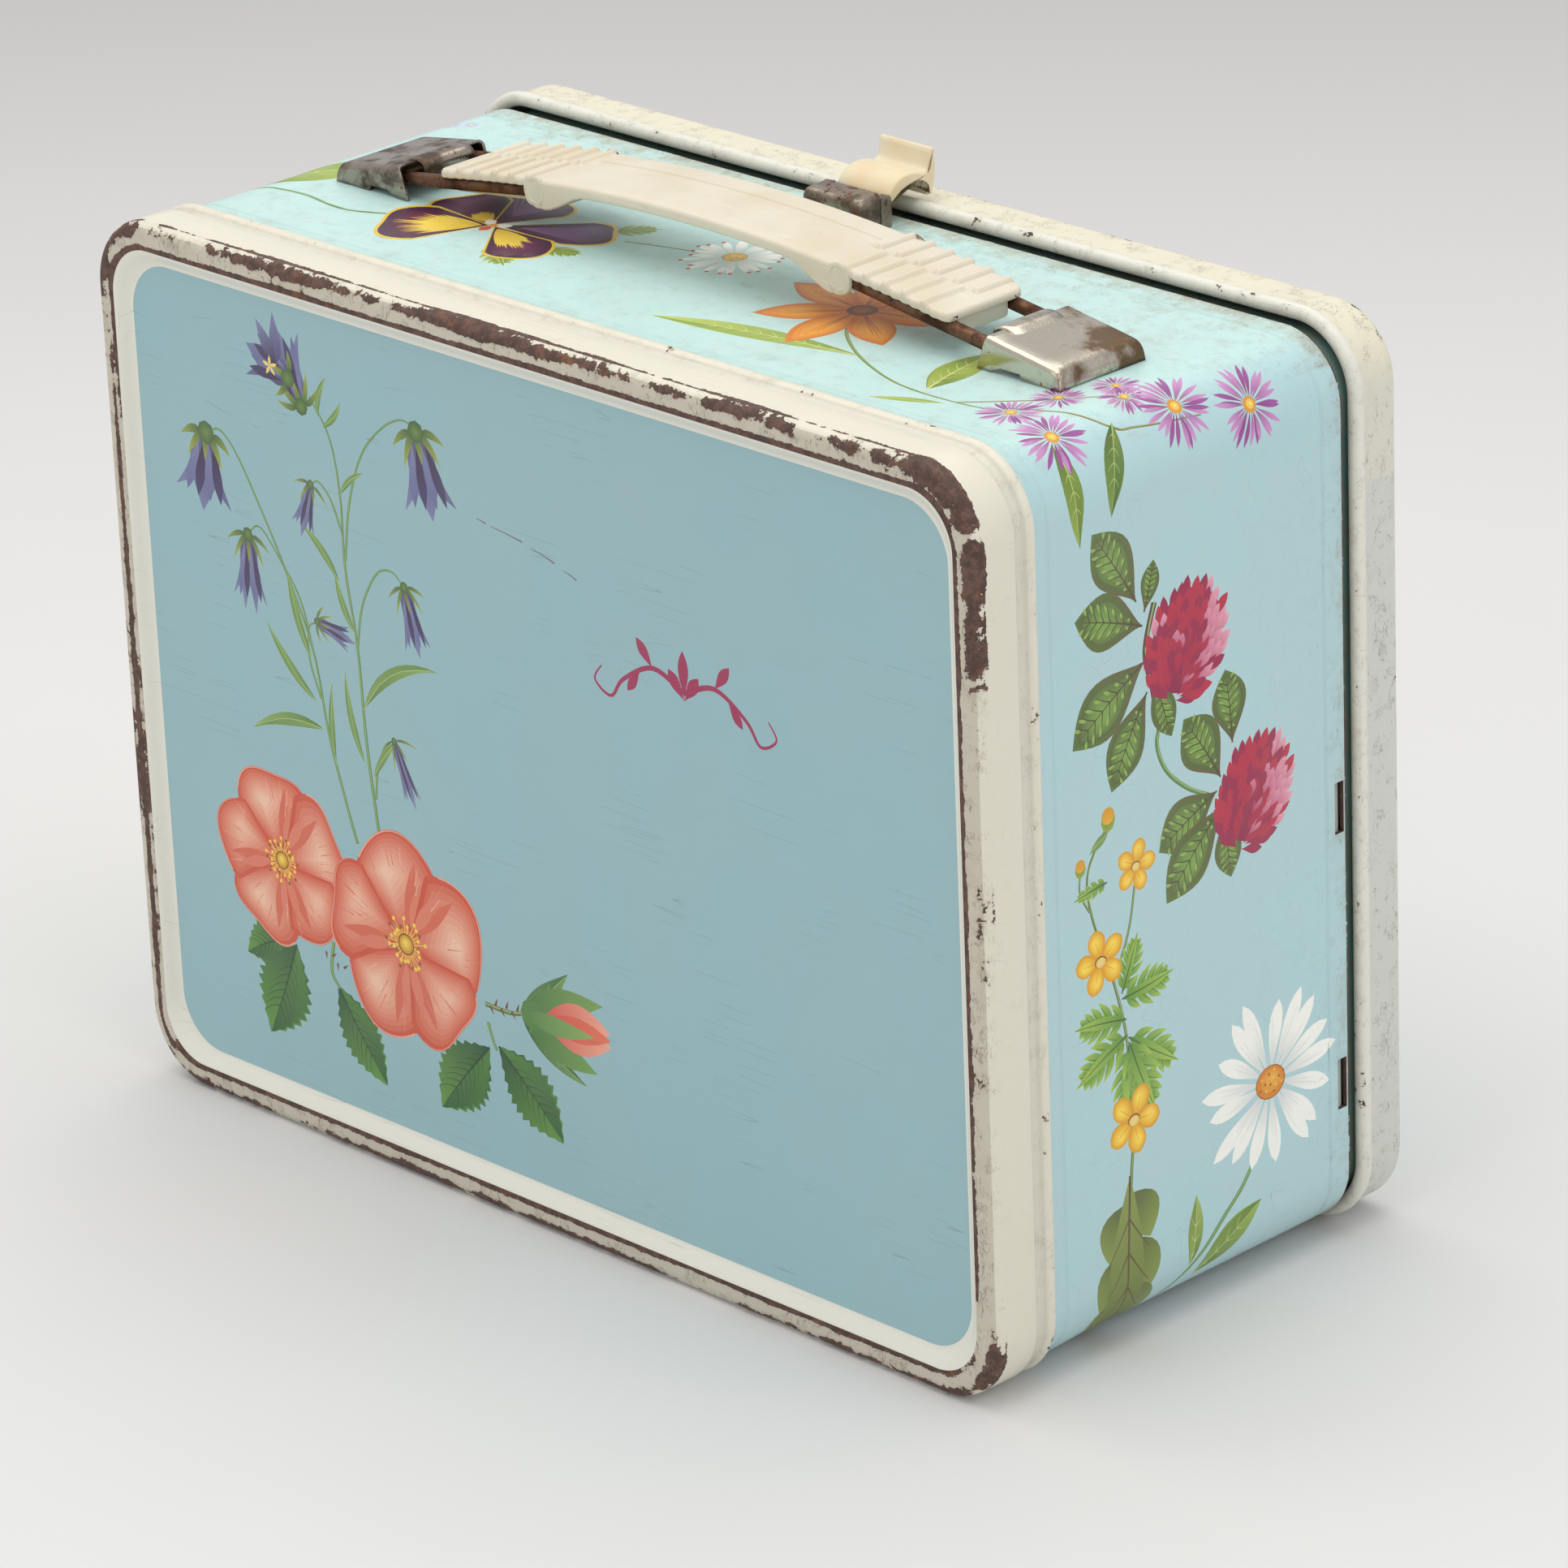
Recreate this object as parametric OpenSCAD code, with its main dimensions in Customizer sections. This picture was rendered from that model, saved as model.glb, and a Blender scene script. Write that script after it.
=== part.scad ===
// Steel lunch box: a drawn front cap and a rolled band make the box, and a drawn lid closes it from behind.
// Origin: centre of the footprint, on the surface it stands on. +X right, +Y to the lid, +Z up. Millimetres.

/* [Box] */
// Overall width of the front cap and the lid
box_w = 220; // [214:1:226]
// Overall height of the front cap
box_h = 170; // [166:1:176]
// Overall depth from the front cap's face to the lid's face
box_d = 106; // [104:0.5:112]
// Outer corner radius of cap and lid
corner_r = 14; // [12:0.5:18]
// Thickness of the steel sheet as modelled
sheet = 0.8; // [0.6:0.1:0.9]

/* [Front cap] */
// Width of the raised border round the front panel
border_w = 8; // [7.5:0.5:10]
// Depth that the front panel is sunk below the border
panel_sink = 2; // [1.5:0.1:2.5]
// Radius of the cap's front edge
edge_r = 2.3; // [2:0.1:3]
// Depth of the cap's side wall, up to the end of its rolled bead
cap_d = 15.2; // [14.5:0.1:15.2]

/* [Band] */
// How far the band lies inside the cap's outline
band_inset = 1.5; // [1.5:0.1:1.8]
// Depth at which the band steps in to the neck that the lid covers
shoulder_d = 92; // [91.5:0.1:92.2]
// How far the neck lies inside the cap's outline
neck_inset = 3.6; // [3.5:0.1:3.8]
// Length of the neck
neck_l = 7; // [6:0.5:8]

/* [Lid] */
// Extra height of the lid over the cap
lid_extra_h = 1; // [0:0.5:1]
// Radius of the lid's rolled bead
bead_r = 1.4; // [1.3:0.05:1.45]
// Depth of the middle of the lid's bead
bead_d = 95; // [94.9:0.1:95.2]

/* [Handle] */
// Length of the grip
grip_l = 127; // [124:1:130]
// Width of the grip
grip_w = 19.8; // [19.2:0.2:21]
// Diameter of the link wire
wire_dia = 2.6; // [2.4:0.1:2.8]

/* [Latch] */
// Width of the latch lever
latch_w = 13; // [12:0.5:13.5]
// Width of the bracket that the lever turns in
bracket_w = 14; // [13.6:0.2:15]

/* [Bottle bail] */
// Reach of the wire bail across the opening
bail_reach = 60; // [45:1:70]
// Diameter of the bail's wire
bail_dia = 2.2; // [2:0.1:2.3]

/* [Hidden] */
$fn = 48;

cream = [0.90, 0.88, 0.80];
pale_blue = [0.62, 0.77, 0.80];
chrome = [0.66, 0.64, 0.60];
rusty = [0.42, 0.28, 0.20];
ivory = [0.93, 0.90, 0.80];

cap_t = 0.5;                             // sheet left behind the cap's groove
lid_h = box_h + lid_extra_h;
lid_skirt_inset = 0.8;                   // the lid's wall lies this far inside its bead
lid_sink = 1.6;                          // depth that the lid's panel is sunk
band_top = box_h - band_inset;           // height of the band's upper face
clear = 0.3;                             // room between moving curved faces

// Points on an arc, from angle a0 to a1, in n steps.
function arc(c, r, a0, a1, n = 6) =
    [for (i = [0:n]) let (a = a0 + (a1 - a0) * i / n) c + r * [cos(a), sin(a)]];

// Turns (inset, depth) points into the swept profile's own plane, where $base is the outline's radius there.
function from_inset(points) = [for (p = points) [$base - p.x, p.y]];

// Sweeps a profile of (inset, depth) points round a w x h outline with rounded corners, and fills the middle
// with a plate from depth d0 to d1 when d1 > d0. The result stands upright with its foot at z = 0.
module swept(w, h, points, d0 = 0, d1 = 0) {
    run_x = w - 2 * corner_r;
    run_y = h - 2 * corner_r;
    translate([0, -box_d / 2, h / 2]) rotate([-90, 0, 0]) union() {
        for (q = [0:3]) {
            across = q % 2 == 0;
            run = across ? run_x : run_y;
            half = (across ? h : w) / 2;
            corner = [(q == 1 || q == 2) ? -run_x / 2 : run_x / 2, q < 2 ? run_y / 2 : -run_y / 2, 0];
            rotate([0, 0, 90 * q]) translate([-run / 2, 0, 0]) rotate([90, 0, 90]) linear_extrude(run) {
                $base = half;
                polygon(from_inset(points));
            }
            translate(corner) rotate([0, 0, 90 * q]) rotate_extrude(angle = 90) {
                $base = corner_r;
                polygon(from_inset(points));
            }
        }
        if (d1 > d0) translate([-run_x / 2, -run_y / 2, d0]) cube([run_x, run_y, d1 - d0]);
    }
}

// ---- Front cap ----
groove = 1.0;                            // depth of the groove in the cap's side wall
groove_d0 = 9.6;
groove_d1 = 12.2;
cap_bead_r = (cap_d - groove_d1) / 2;
slope_w = 3.1;                           // width of the slope between border and panel, cap and lid
cap_outside = concat(
    [[corner_r, panel_sink], [border_w, panel_sink], [border_w - slope_w, 0]],
    arc([edge_r, edge_r], edge_r, 270, 180),
    [[0, groove_d0], [groove, groove_d0 + groove], [groove, groove_d1]],
    arc([cap_bead_r, groove_d1 + cap_bead_r], cap_bead_r, 225, 90));
cap_inside = concat(
    [[band_inset, groove_d0]],
    [[sheet, groove_d0 - sheet]],
    arc([edge_r, edge_r], edge_r - sheet, 180, 270),
    [[border_w - slope_w - 0.3, sheet], [border_w - 0.3, panel_sink + sheet],
     [corner_r, panel_sink + sheet]]);

module front_panel() {
    color(cream) swept(box_w, box_h, concat(cap_outside, [[band_inset, cap_d]], cap_inside),
                       panel_sink, panel_sink + sheet);
}

// ---- Band ----
crease_d = 86.4;                         // a pressed line runs round the band here
crease = 0.25;
band_start = groove_d0;
neck_end = shoulder_d + neck_l;
shoulder_r = 0.8;
band_ring = concat(
    [[band_inset, band_start], [band_inset, crease_d - 0.6], [band_inset + crease, crease_d],
     [band_inset, crease_d + 0.6]],
    arc([band_inset + shoulder_r, shoulder_d - shoulder_r], shoulder_r, 180, 90, 4),
    [[neck_inset, shoulder_d], [neck_inset, neck_end], [neck_inset + sheet, neck_end],
     [neck_inset + sheet, shoulder_d - sheet], [band_inset + sheet, shoulder_d - 1.8 * sheet],
     [band_inset + sheet, band_start]]);

// The bail turns in two eyes lanced inward from the right wall, which leave a slot behind each of them.
eye_z = [30.8, 83.2];
eye_h = 7;
eye_w = 3.8;
bail_x = box_w / 2 - 6.6;
bail_y = 88.4 - box_d / 2;
slot_h = 9.6;
slot_w = 2.6;
wall_in = box_w / 2 - band_inset - sheet;
eye_bore = bail_dia + 0.1;

module body_band() {
    color(pale_blue) difference() {
        union() {
            swept(box_w, box_h, band_ring);
            for (z = eye_z) translate([bail_x - eye_w / 2, bail_y - eye_w / 2, z - eye_h / 2])
                cube([wall_in - bail_x + eye_w / 2 + 0.2, eye_w, eye_h]);
        }
        for (z = eye_z) {
            translate([bail_x, bail_y, z - eye_h]) cylinder(d = eye_bore, h = 2 * eye_h);
            translate([wall_in - 0.2, shoulder_d - box_d / 2 - slot_w - 0.8, z - slot_h / 2])
                cube([4, slot_w, slot_h]);
        }
        for (side = [-1, 1]) clip_slits(side);
        bracket_slits();
        hinge_rivet_holes();
    }
}

// ---- Handle ----
hand_y = -0.7;                           // the handle's middle line
wire_r = wire_dia / 2;
arm_y = 7.8;                             // distance of a link's arms from the middle line
boss_x = 37.8;                           // a link turns on the grip here
boss_z = band_top + 8.4;
cross_x = 79.5;                          // and its crossbar lies in the clip here at rest
cross_z = band_top + 2.4;
keel_w = 12.4;
arch = 0.00135;                          // fall of the grip's top per mm squared from its middle
grip_top = band_top + 13.7;
function top_z(x) = grip_top - arch * x * x;

clip_x0 = 73.2;
clip_x1 = 89.5;
clip_w = 21;
clip_t = 0.6;
mouth_h = 6.2;
heel_h = 3.6;
tab_l = 2.6;
function roof_z(x) = band_top + mouth_h - (x - clip_x0) * (mouth_h - heel_h) / (clip_x1 - clip_x0);

// One clip, with its mouth toward the grip. It is a ramp-shaped cover of sheet, open at the mouth.
module clip() {
    translate([0, hand_y, 0]) {
        rotate([90, 0, 0]) translate([0, 0, -clip_w / 2]) linear_extrude(clip_w)
            polygon([[clip_x0, roof_z(clip_x0)], [clip_x1, roof_z(clip_x1)], [clip_x1 + 0.7, band_top],
                     [clip_x1 + 0.1, band_top], [clip_x1 - clip_t, roof_z(clip_x1) - clip_t],
                     [clip_x0, roof_z(clip_x0) - clip_t]]);
        // The lip that hangs between the link's two arms keeps the crossbar in.
        rotate([90, 0, 0]) translate([0, 0, -keel_w / 2]) linear_extrude(keel_w)
            polygon([[clip_x0 - tab_l, cross_z + 0.7], [clip_x0 - tab_l, roof_z(clip_x0) - clip_t],
                     [clip_x0 - tab_l + clip_t, roof_z(clip_x0) + 0.3], [clip_x0, roof_z(clip_x0)],
                     [clip_x0 + 1, roof_z(clip_x0 + 1)], [clip_x0 + 1, roof_z(clip_x0 + 1) - clip_t],
                     [clip_x0, roof_z(clip_x0) - clip_t],
                     [clip_x0 - tab_l + clip_t, roof_z(clip_x0) - clip_t],
                     [clip_x0 - tab_l + clip_t, cross_z + 0.7]]);
        for (s = [0, 1]) mirror([0, s, 0]) {
            translate([0, -clip_w / 2 + clip_t, 0]) rotate([90, 0, 0]) linear_extrude(clip_t)
                polygon([[clip_x0 - 2.2, band_top], [clip_x0, roof_z(clip_x0)], [clip_x1, roof_z(clip_x1)],
                         [clip_x1 + 0.7, band_top], [clip_x0 + 7.6, band_top],
                         [clip_x0 + 7.1, band_top + 1.1],
                         [clip_x0 + 1.9, band_top + 1.1], [clip_x0 + 1.4, band_top]]);
            foot(clip_x0 + 11, -clip_w / 2);
        }
    }
}

foot_l = 4;
foot_reach = 3;
// A tab that goes through a slit in the band and is folded flat behind it.
module foot(x, y) {
    translate([x, y, band_top - sheet - clip_t]) cube([foot_l, clip_t, sheet + clip_t + 0.5]);
    translate([x, y, band_top - sheet - clip_t]) cube([foot_l, foot_reach, clip_t]);
}

module slit(x, y) {
    translate([x - 0.1, y - 0.1, band_top - 2]) cube([foot_l + 0.2, clip_t + 0.2, 4]);
}

module clip_slits(side) {
    mirror([side > 0 ? 0 : 1, 0, 0]) translate([0, hand_y, 0])
        for (s = [0, 1]) mirror([0, s, 0]) slit(clip_x0 + 11, -clip_w / 2);
}

module handle_clip_left() { color(chrome) mirror([1, 0, 0]) clip(); }
module handle_clip_right() { color(chrome) clip(); }

// One link: a U of wire. Its crossbar slides in the clip, and its ends turn in the grip's bosses.
pin_end = 2.2;                           // the turned-in ends stop this far from the middle line
module link() {
    slope = atan2(boss_z - cross_z, cross_x - boss_x);
    reach = norm([cross_x - boss_x, boss_z - cross_z]);
    joint_r = wire_r * 1.06;
    translate([boss_x, hand_y, boss_z]) rotate([0, slope, 0]) {
        for (s = [-1, 1]) {
            translate([0, s * arm_y, 0]) rotate([0, 90, 0]) cylinder(r = wire_r, h = reach);
            translate([0, s * arm_y, 0]) sphere(r = joint_r);
            translate([reach, s * arm_y, 0]) sphere(r = joint_r);
            translate([0, s * arm_y, 0]) rotate([s * 90, 0, 0]) cylinder(r = wire_r, h = arm_y - pin_end);
        }
        translate([reach, -arm_y, 0]) rotate([-90, 0, 0]) cylinder(r = wire_r, h = 2 * arm_y);
    }
}

module handle_link_left() { color(rusty) mirror([1, 0, 0]) link(); }
module handle_link_right() { color(rusty) link(); }

plate_t = 2.3;                           // thickness of the grip's plate in the middle
end_t = 1.6;                             // and over the link wires
boss_r = 2.9;
slot_y0 = arm_y - wire_r - clear;
slot_y1 = arm_y + wire_r + clear;
rib_h = 0.7;
rib_w = 1.3;
rib_pitch = 4.6;
rib_first = 40;

module grip_half() {
    half = grip_l / 2;
    steps = 10;
    top = [for (i = [0:steps]) let (x = half * i / steps) [x, top_z(x)]];
    under = concat([[half, top_z(half) - end_t], [boss_x + boss_r, top_z(boss_x + boss_r) - end_t]],
                   [[boss_x - 3, boss_z - boss_r + 0.3], [boss_x - 11, top_z(boss_x - 11) - plate_t],
                    [0, top_z(0) - plate_t]]);
    rotate([90, 0, 0]) translate([0, 0, -grip_w / 2]) linear_extrude(grip_w) polygon(concat(top, under));
    // The boss round the link's pivot, and the keel between the arms.
    translate([boss_x, grip_w / 2, boss_z]) rotate([90, 0, 0]) cylinder(r = boss_r, h = grip_w);
    rotate([90, 0, 0]) translate([0, 0, -keel_w / 2]) linear_extrude(keel_w)
        polygon([[boss_x - 3, boss_z - 2.2], [half - 1, cross_z + 0.3], [half - 0.4, top_z(half) - 0.5],
                 [boss_x - 3, top_z(boss_x) - 1]]);
    for (i = [0:4]) {
        front_x = rib_first + rib_pitch * i;
        rear_x = front_x - rib_pitch / 2;
        translate([front_x, -grip_w / 2, top_z(front_x) - 0.6]) cube([rib_w, grip_w / 2, 0.6 + rib_h]);
        translate([rear_x, 0, top_z(rear_x) - 0.6]) cube([rib_w, grip_w / 2, 0.6 + rib_h * 0.8]);
    }
}

module handle_grip() {
    color(ivory) translate([0, hand_y, 0]) difference() {
        union() {
            grip_half();
            mirror([1, 0, 0]) grip_half();
        }
        for (m = [0, 1]) mirror([m, 0, 0]) {
            translate([boss_x, slot_y1, boss_z]) rotate([90, 0, 0])
                cylinder(d = wire_dia + 0.1, h = 2 * slot_y1);
            for (s = [0, 1]) mirror([0, s, 0])
                translate([boss_x - wire_r - 2 * clear, slot_y0, boss_z - 8])
                    cube([boss_r + 4, slot_y1 - slot_y0, 8 + wire_r + 2 * clear]);
        }
    }
}

// ---- Latch ----
pivot_y = 33.0;
pivot_z = band_top + 4.6;
latch_bore = 1.3;
latch_pin_d = 1.2;
barrel_r = 1.45;
bracket_y0 = 25.7;
roof_y1 = 31.9;
cheek_y1 = 34.0;
bracket_t = 0.6;
bracket_h = 6.6;

module latch_bracket() {
    color(chrome) difference() {
        union() {
            translate([-bracket_w / 2, bracket_y0, band_top + bracket_h - bracket_t])
                cube([bracket_w, roof_y1 - bracket_y0, bracket_t]);
            translate([-bracket_w / 2, bracket_y0, band_top]) cube([bracket_w, bracket_t, bracket_h]);
            for (s = [0, 1]) mirror([s, 0, 0]) {
                translate([-bracket_w / 2, 0, 0]) rotate([90, 0, 90]) linear_extrude(bracket_t)
                    polygon([[bracket_y0, band_top], [cheek_y1, band_top], [cheek_y1, band_top + 5.6],
                             [roof_y1, band_top + bracket_h], [bracket_y0, band_top + bracket_h]]);
                bracket_foot();
            }
        }
        translate([-bracket_w, pivot_y, pivot_z]) rotate([0, 90, 0])
            cylinder(d = latch_pin_d, h = 2 * bracket_w);
    }
}

bracket_foot_y = 28;
module bracket_foot() {
    translate([-bracket_w / 2, bracket_foot_y + foot_l, 0]) rotate([0, 0, -90]) foot(0, 0);
}

module bracket_slits() {
    for (s = [0, 1]) mirror([s, 0, 0])
        translate([-bracket_w / 2, bracket_foot_y + foot_l, 0]) rotate([0, 0, -90]) slit(0, 0);
}

module latch_pin() {
    color(rusty) translate([-bracket_w / 2 - 0.4, pivot_y, pivot_z]) rotate([0, 90, 0])
        cylinder(d = latch_pin_d, h = bracket_w + 0.8);
}

// The lever arches over the lid's bead. Its hook stands just clear of the bead at rest, which is the pose
// in which the lid can swing. Six degrees further down, the hook has dropped behind the bead.
hook_in = bead_d + bead_r + 0.2 - box_d / 2;
hook_z = lid_h + 0.45;
saddle_z = lid_h + 5.5;
lever = concat(
    [[pivot_y + 0.6, pivot_z - 1.2], [pivot_y + 1.6, pivot_z - 0.9], [37.2, saddle_z - 2.3],
     [39.6, saddle_z - 1.9], [42.2, saddle_z - 2.2], [hook_in, saddle_z - 3.2], [hook_in, hook_z],
     [hook_in + 1.5, hook_z + 0.1]],
    [[45.6, saddle_z - 2], [45.9, saddle_z + 2.9], [45.4, saddle_z + 3.6], [44.8, saddle_z + 3.2],
     [44.0, saddle_z - 0.1], [42.9, saddle_z - 0.8]],
    [[41.0, saddle_z], [37.8, saddle_z + 0.3], [35.6, saddle_z - 0.5], [pivot_y + 1.75, pivot_z + 1.4],
     [pivot_y + 0.9, pivot_z + 1.1]]);

module latch_lever() {
    inner_w = bracket_w - 2 * bracket_t - 0.4;
    color(ivory) difference() {
        union() {
            translate([-latch_w / 2, 0, 0]) rotate([90, 0, 90]) linear_extrude(latch_w) polygon(lever);
            translate([-inner_w / 2, pivot_y, pivot_z]) rotate([0, 90, 0])
                cylinder(r = barrel_r, h = inner_w);
        }
        // Beside the barrel the lever is cut back to pass between the bracket's cheeks.
        for (s = [0, 1]) mirror([s, 0, 0])
            translate([inner_w / 2, pivot_y - 4, pivot_z - 4]) cube([3, 4 + cheek_y1 - pivot_y + 0.7, 9]);
        translate([-latch_w, pivot_y, pivot_z]) rotate([0, 90, 0]) cylinder(d = latch_bore, h = 2 * latch_w);
    }
}

// ---- Lid ----
lid_edge_r = 3;
skirt_d = box_d - lid_edge_r;
lid_ring = concat(
    [[corner_r, box_d - lid_sink], [border_w, box_d - lid_sink], [border_w - slope_w, box_d]],
    arc([lid_skirt_inset + lid_edge_r, skirt_d], lid_edge_r, 90, 180),
    [[lid_skirt_inset, bead_d + bead_r * 0.9]],
    arc([bead_r, bead_d], bead_r, 150, 360, 12),
    [[2 * bead_r, bead_d + 0.4], [lid_skirt_inset + sheet, bead_d + bead_r + 0.4]],
    arc([lid_skirt_inset + lid_edge_r, skirt_d], lid_edge_r - sheet, 180, 90),
    [[border_w - slope_w - 0.3, box_d - sheet], [border_w - 0.3, box_d - lid_sink - sheet],
     [corner_r, box_d - lid_sink - sheet]]);

module lid_shell() {
    color(cream) difference() {
        swept(box_w, lid_h, lid_ring, box_d - lid_sink - sheet, box_d - lid_sink);
        for (x = hinge_x) translate([x - hinge_w / 2 - 1, hinge_y - 3, -1])
            cube([hinge_w + 2, bead_d + bead_r + 0.3 - box_d / 2 - hinge_y + 3, 4.4]);
        lid_rivet_holes();
    }
}

// ---- Hinges ----
hinge_x = [-62, 62];
hinge_w = 24;
hinge_y = 94.4 - box_d / 2;
hinge_z = 1.5;
knuckle_r = 1.4;
hinge_pin_d = 1.4;
knuckle_l = 9;                           // length of the lid leaf's knuckle
leaf_t = 0.6;
body_leaf_l = 13;
lid_leaf_l = 6.6;
side_l = (hinge_w - knuckle_l) / 2 - clear;
rivet_d = 2;
rivet_head = 3.6;
rivet_head_t = 0.55;
body_rivet_y = 84.5 - box_d / 2;
lid_rivet_y = 100.4 - box_d / 2;
rivet_x = 7;

module hinge_leaf_body(x) {
    color(chrome) translate([x, 0, 0]) difference() {
        union() {
            translate([-hinge_w / 2, hinge_y - knuckle_r - clear - body_leaf_l, band_inset - leaf_t])
                cube([hinge_w, body_leaf_l, leaf_t]);
            for (e = [-hinge_w / 2, hinge_w / 2 - side_l]) {
                translate([e, hinge_y, hinge_z]) rotate([0, 90, 0]) cylinder(r = knuckle_r, h = side_l);
                translate([e, hinge_y - knuckle_r - 1, band_inset - leaf_t])
                    cube([side_l, knuckle_r + 1, leaf_t]);
            }
        }
        translate([-hinge_w, hinge_y, hinge_z]) rotate([0, 90, 0]) cylinder(d = hinge_pin_d, h = 2 * hinge_w);
        for (s = [-1, 1]) translate([s * rivet_x, body_rivet_y, -1]) cylinder(d = rivet_d, h = 4);
    }
}

module hinge_leaf_lid(x) {
    inside = lid_skirt_inset + sheet;
    start = hinge_y + knuckle_r + clear + 0.1;
    color(chrome) translate([x, 0, 0]) difference() {
        union() {
            translate([-hinge_w / 2, start, inside]) cube([hinge_w, lid_leaf_l, leaf_t]);
            translate([-knuckle_l / 2, hinge_y, inside]) cube([knuckle_l, start - hinge_y + 1, leaf_t]);
            translate([-knuckle_l / 2, hinge_y, hinge_z]) rotate([0, 90, 0])
                cylinder(r = knuckle_r, h = knuckle_l);
        }
        translate([-hinge_w, hinge_y, hinge_z]) rotate([0, 90, 0])
            cylinder(d = hinge_pin_d + 0.1, h = 2 * hinge_w);
        for (s = [-1, 1]) translate([s * rivet_x, lid_rivet_y, -1]) cylinder(d = rivet_d, h = 6);
    }
}

module hinge_pin(x) {
    color(rusty) translate([x - hinge_w / 2 - 0.3, hinge_y, hinge_z]) rotate([0, 90, 0])
        cylinder(d = hinge_pin_d, h = hinge_w + 0.6);
}

module hinge_leaf_body_left() { hinge_leaf_body(hinge_x[0]); }
module hinge_leaf_body_right() { hinge_leaf_body(hinge_x[1]); }
module hinge_leaf_lid_left() { hinge_leaf_lid(hinge_x[0]); }
module hinge_leaf_lid_right() { hinge_leaf_lid(hinge_x[1]); }
module hinge_pin_left() { hinge_pin(hinge_x[0]); }
module hinge_pin_right() { hinge_pin(hinge_x[1]); }

// A rivet with flat heads that clamps whatever lies between z0 and z1.
module rivet(z0, z1) {
    translate([0, 0, z0 - rivet_head_t]) cylinder(d = rivet_head, h = rivet_head_t);
    translate([0, 0, z0]) cylinder(d = rivet_d, h = z1 - z0);
    translate([0, 0, z1]) cylinder(d = rivet_head, h = rivet_head_t);
}

module body_rivets() {
    color(chrome) for (x = hinge_x, s = [-1, 1])
        translate([x + s * rivet_x, body_rivet_y, 0]) rivet(band_inset - leaf_t, band_inset + sheet);
}

module lid_rivets() {
    color(chrome) for (x = hinge_x, s = [-1, 1])
        translate([x + s * rivet_x, lid_rivet_y, 0])
            rivet(lid_skirt_inset, lid_skirt_inset + sheet + leaf_t);
}

module hinge_rivet_holes() {
    for (x = hinge_x, s = [-1, 1])
        translate([x + s * rivet_x, body_rivet_y, -1]) cylinder(d = rivet_d, h = 5);
}

module lid_rivet_holes() {
    for (x = hinge_x, s = [-1, 1])
        translate([x + s * rivet_x, lid_rivet_y, -1]) cylinder(d = rivet_d, h = 5);
}

// ---- Bottle bail ----
// A U of springy wire. Its two ends turn outward, down and up, into the eyes of the right wall.
bail_low = eye_z[0] + eye_h / 2 + 2.4;
bail_high = eye_z[1] - eye_h / 2 - 2.4;
bail_pin = eye_h + 2.4;

module bottle_bail() {
    r = bail_dia / 2;
    joint_r = r * 1.06;
    color(rusty) translate([bail_x, bail_y, 0]) {
        for (z = [bail_low, bail_high]) translate([0, 0, z]) {
            rotate([0, -90, 0]) cylinder(r = r, h = bail_reach);
            sphere(r = joint_r);
            translate([-bail_reach, 0, 0]) sphere(r = joint_r);
        }
        translate([0, 0, bail_low - bail_pin]) cylinder(r = r, h = bail_pin);
        translate([0, 0, bail_high]) cylinder(r = r, h = bail_pin);
        translate([-bail_reach, 0, bail_low]) cylinder(r = r, h = bail_high - bail_low);
    }
}

front_panel();
body_band();
handle_clip_left();
handle_clip_right();
latch_bracket();
latch_pin();
hinge_leaf_body_left();
hinge_leaf_body_right();
hinge_pin_left();
hinge_pin_right();
body_rivets();
lid_shell();
hinge_leaf_lid_left();
hinge_leaf_lid_right();
lid_rivets();
latch_lever();
handle_grip();
handle_link_left();
handle_link_right();
bottle_bail();
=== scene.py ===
import math
import random
import bpy
import bmesh
from mathutils import Matrix, Vector, geometry, noise


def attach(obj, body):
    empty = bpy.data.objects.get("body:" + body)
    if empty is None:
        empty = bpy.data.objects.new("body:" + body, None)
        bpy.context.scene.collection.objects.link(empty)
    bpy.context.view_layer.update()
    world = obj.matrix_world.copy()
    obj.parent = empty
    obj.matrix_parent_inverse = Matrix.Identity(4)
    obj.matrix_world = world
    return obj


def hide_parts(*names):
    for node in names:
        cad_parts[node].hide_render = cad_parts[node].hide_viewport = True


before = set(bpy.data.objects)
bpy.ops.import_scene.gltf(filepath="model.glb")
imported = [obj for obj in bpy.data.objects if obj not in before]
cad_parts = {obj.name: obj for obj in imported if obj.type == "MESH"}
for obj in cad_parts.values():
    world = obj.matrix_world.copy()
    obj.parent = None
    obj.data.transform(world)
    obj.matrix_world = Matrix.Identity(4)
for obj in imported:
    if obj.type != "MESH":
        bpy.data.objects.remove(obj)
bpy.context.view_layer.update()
MM = 0.001
rnd = random.Random(7)
scene = bpy.context.scene


# ------------------------------------------------------------------ camera
def make_camera():
    az, el, roll = math.radians(46.03), math.radians(22.44), math.radians(-2.35)
    forward = Vector((-math.sin(az) * math.cos(el), math.cos(az) * math.cos(el), -math.sin(el)))
    right = Vector((math.cos(az), math.sin(az), 0))
    up = right.cross(forward)
    right, up = (math.cos(roll) * right + math.sin(roll) * up, math.cos(roll) * up - math.sin(roll) * right)
    data = bpy.data.cameras.new("cam")
    data.lens = 178.0
    data.sensor_width = 36.0
    data.shift_x = 0.001
    data.shift_y = -0.0058
    data.clip_start, data.clip_end = 0.05, 50
    cam = bpy.data.objects.new("cam", data)
    scene.collection.objects.link(cam)
    turn = Matrix((right, up, -forward)).transposed().to_4x4()
    cam.matrix_world = Matrix.Translation((0.9307, -0.8897, 0.6036)) @ turn
    scene.camera = cam


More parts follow.
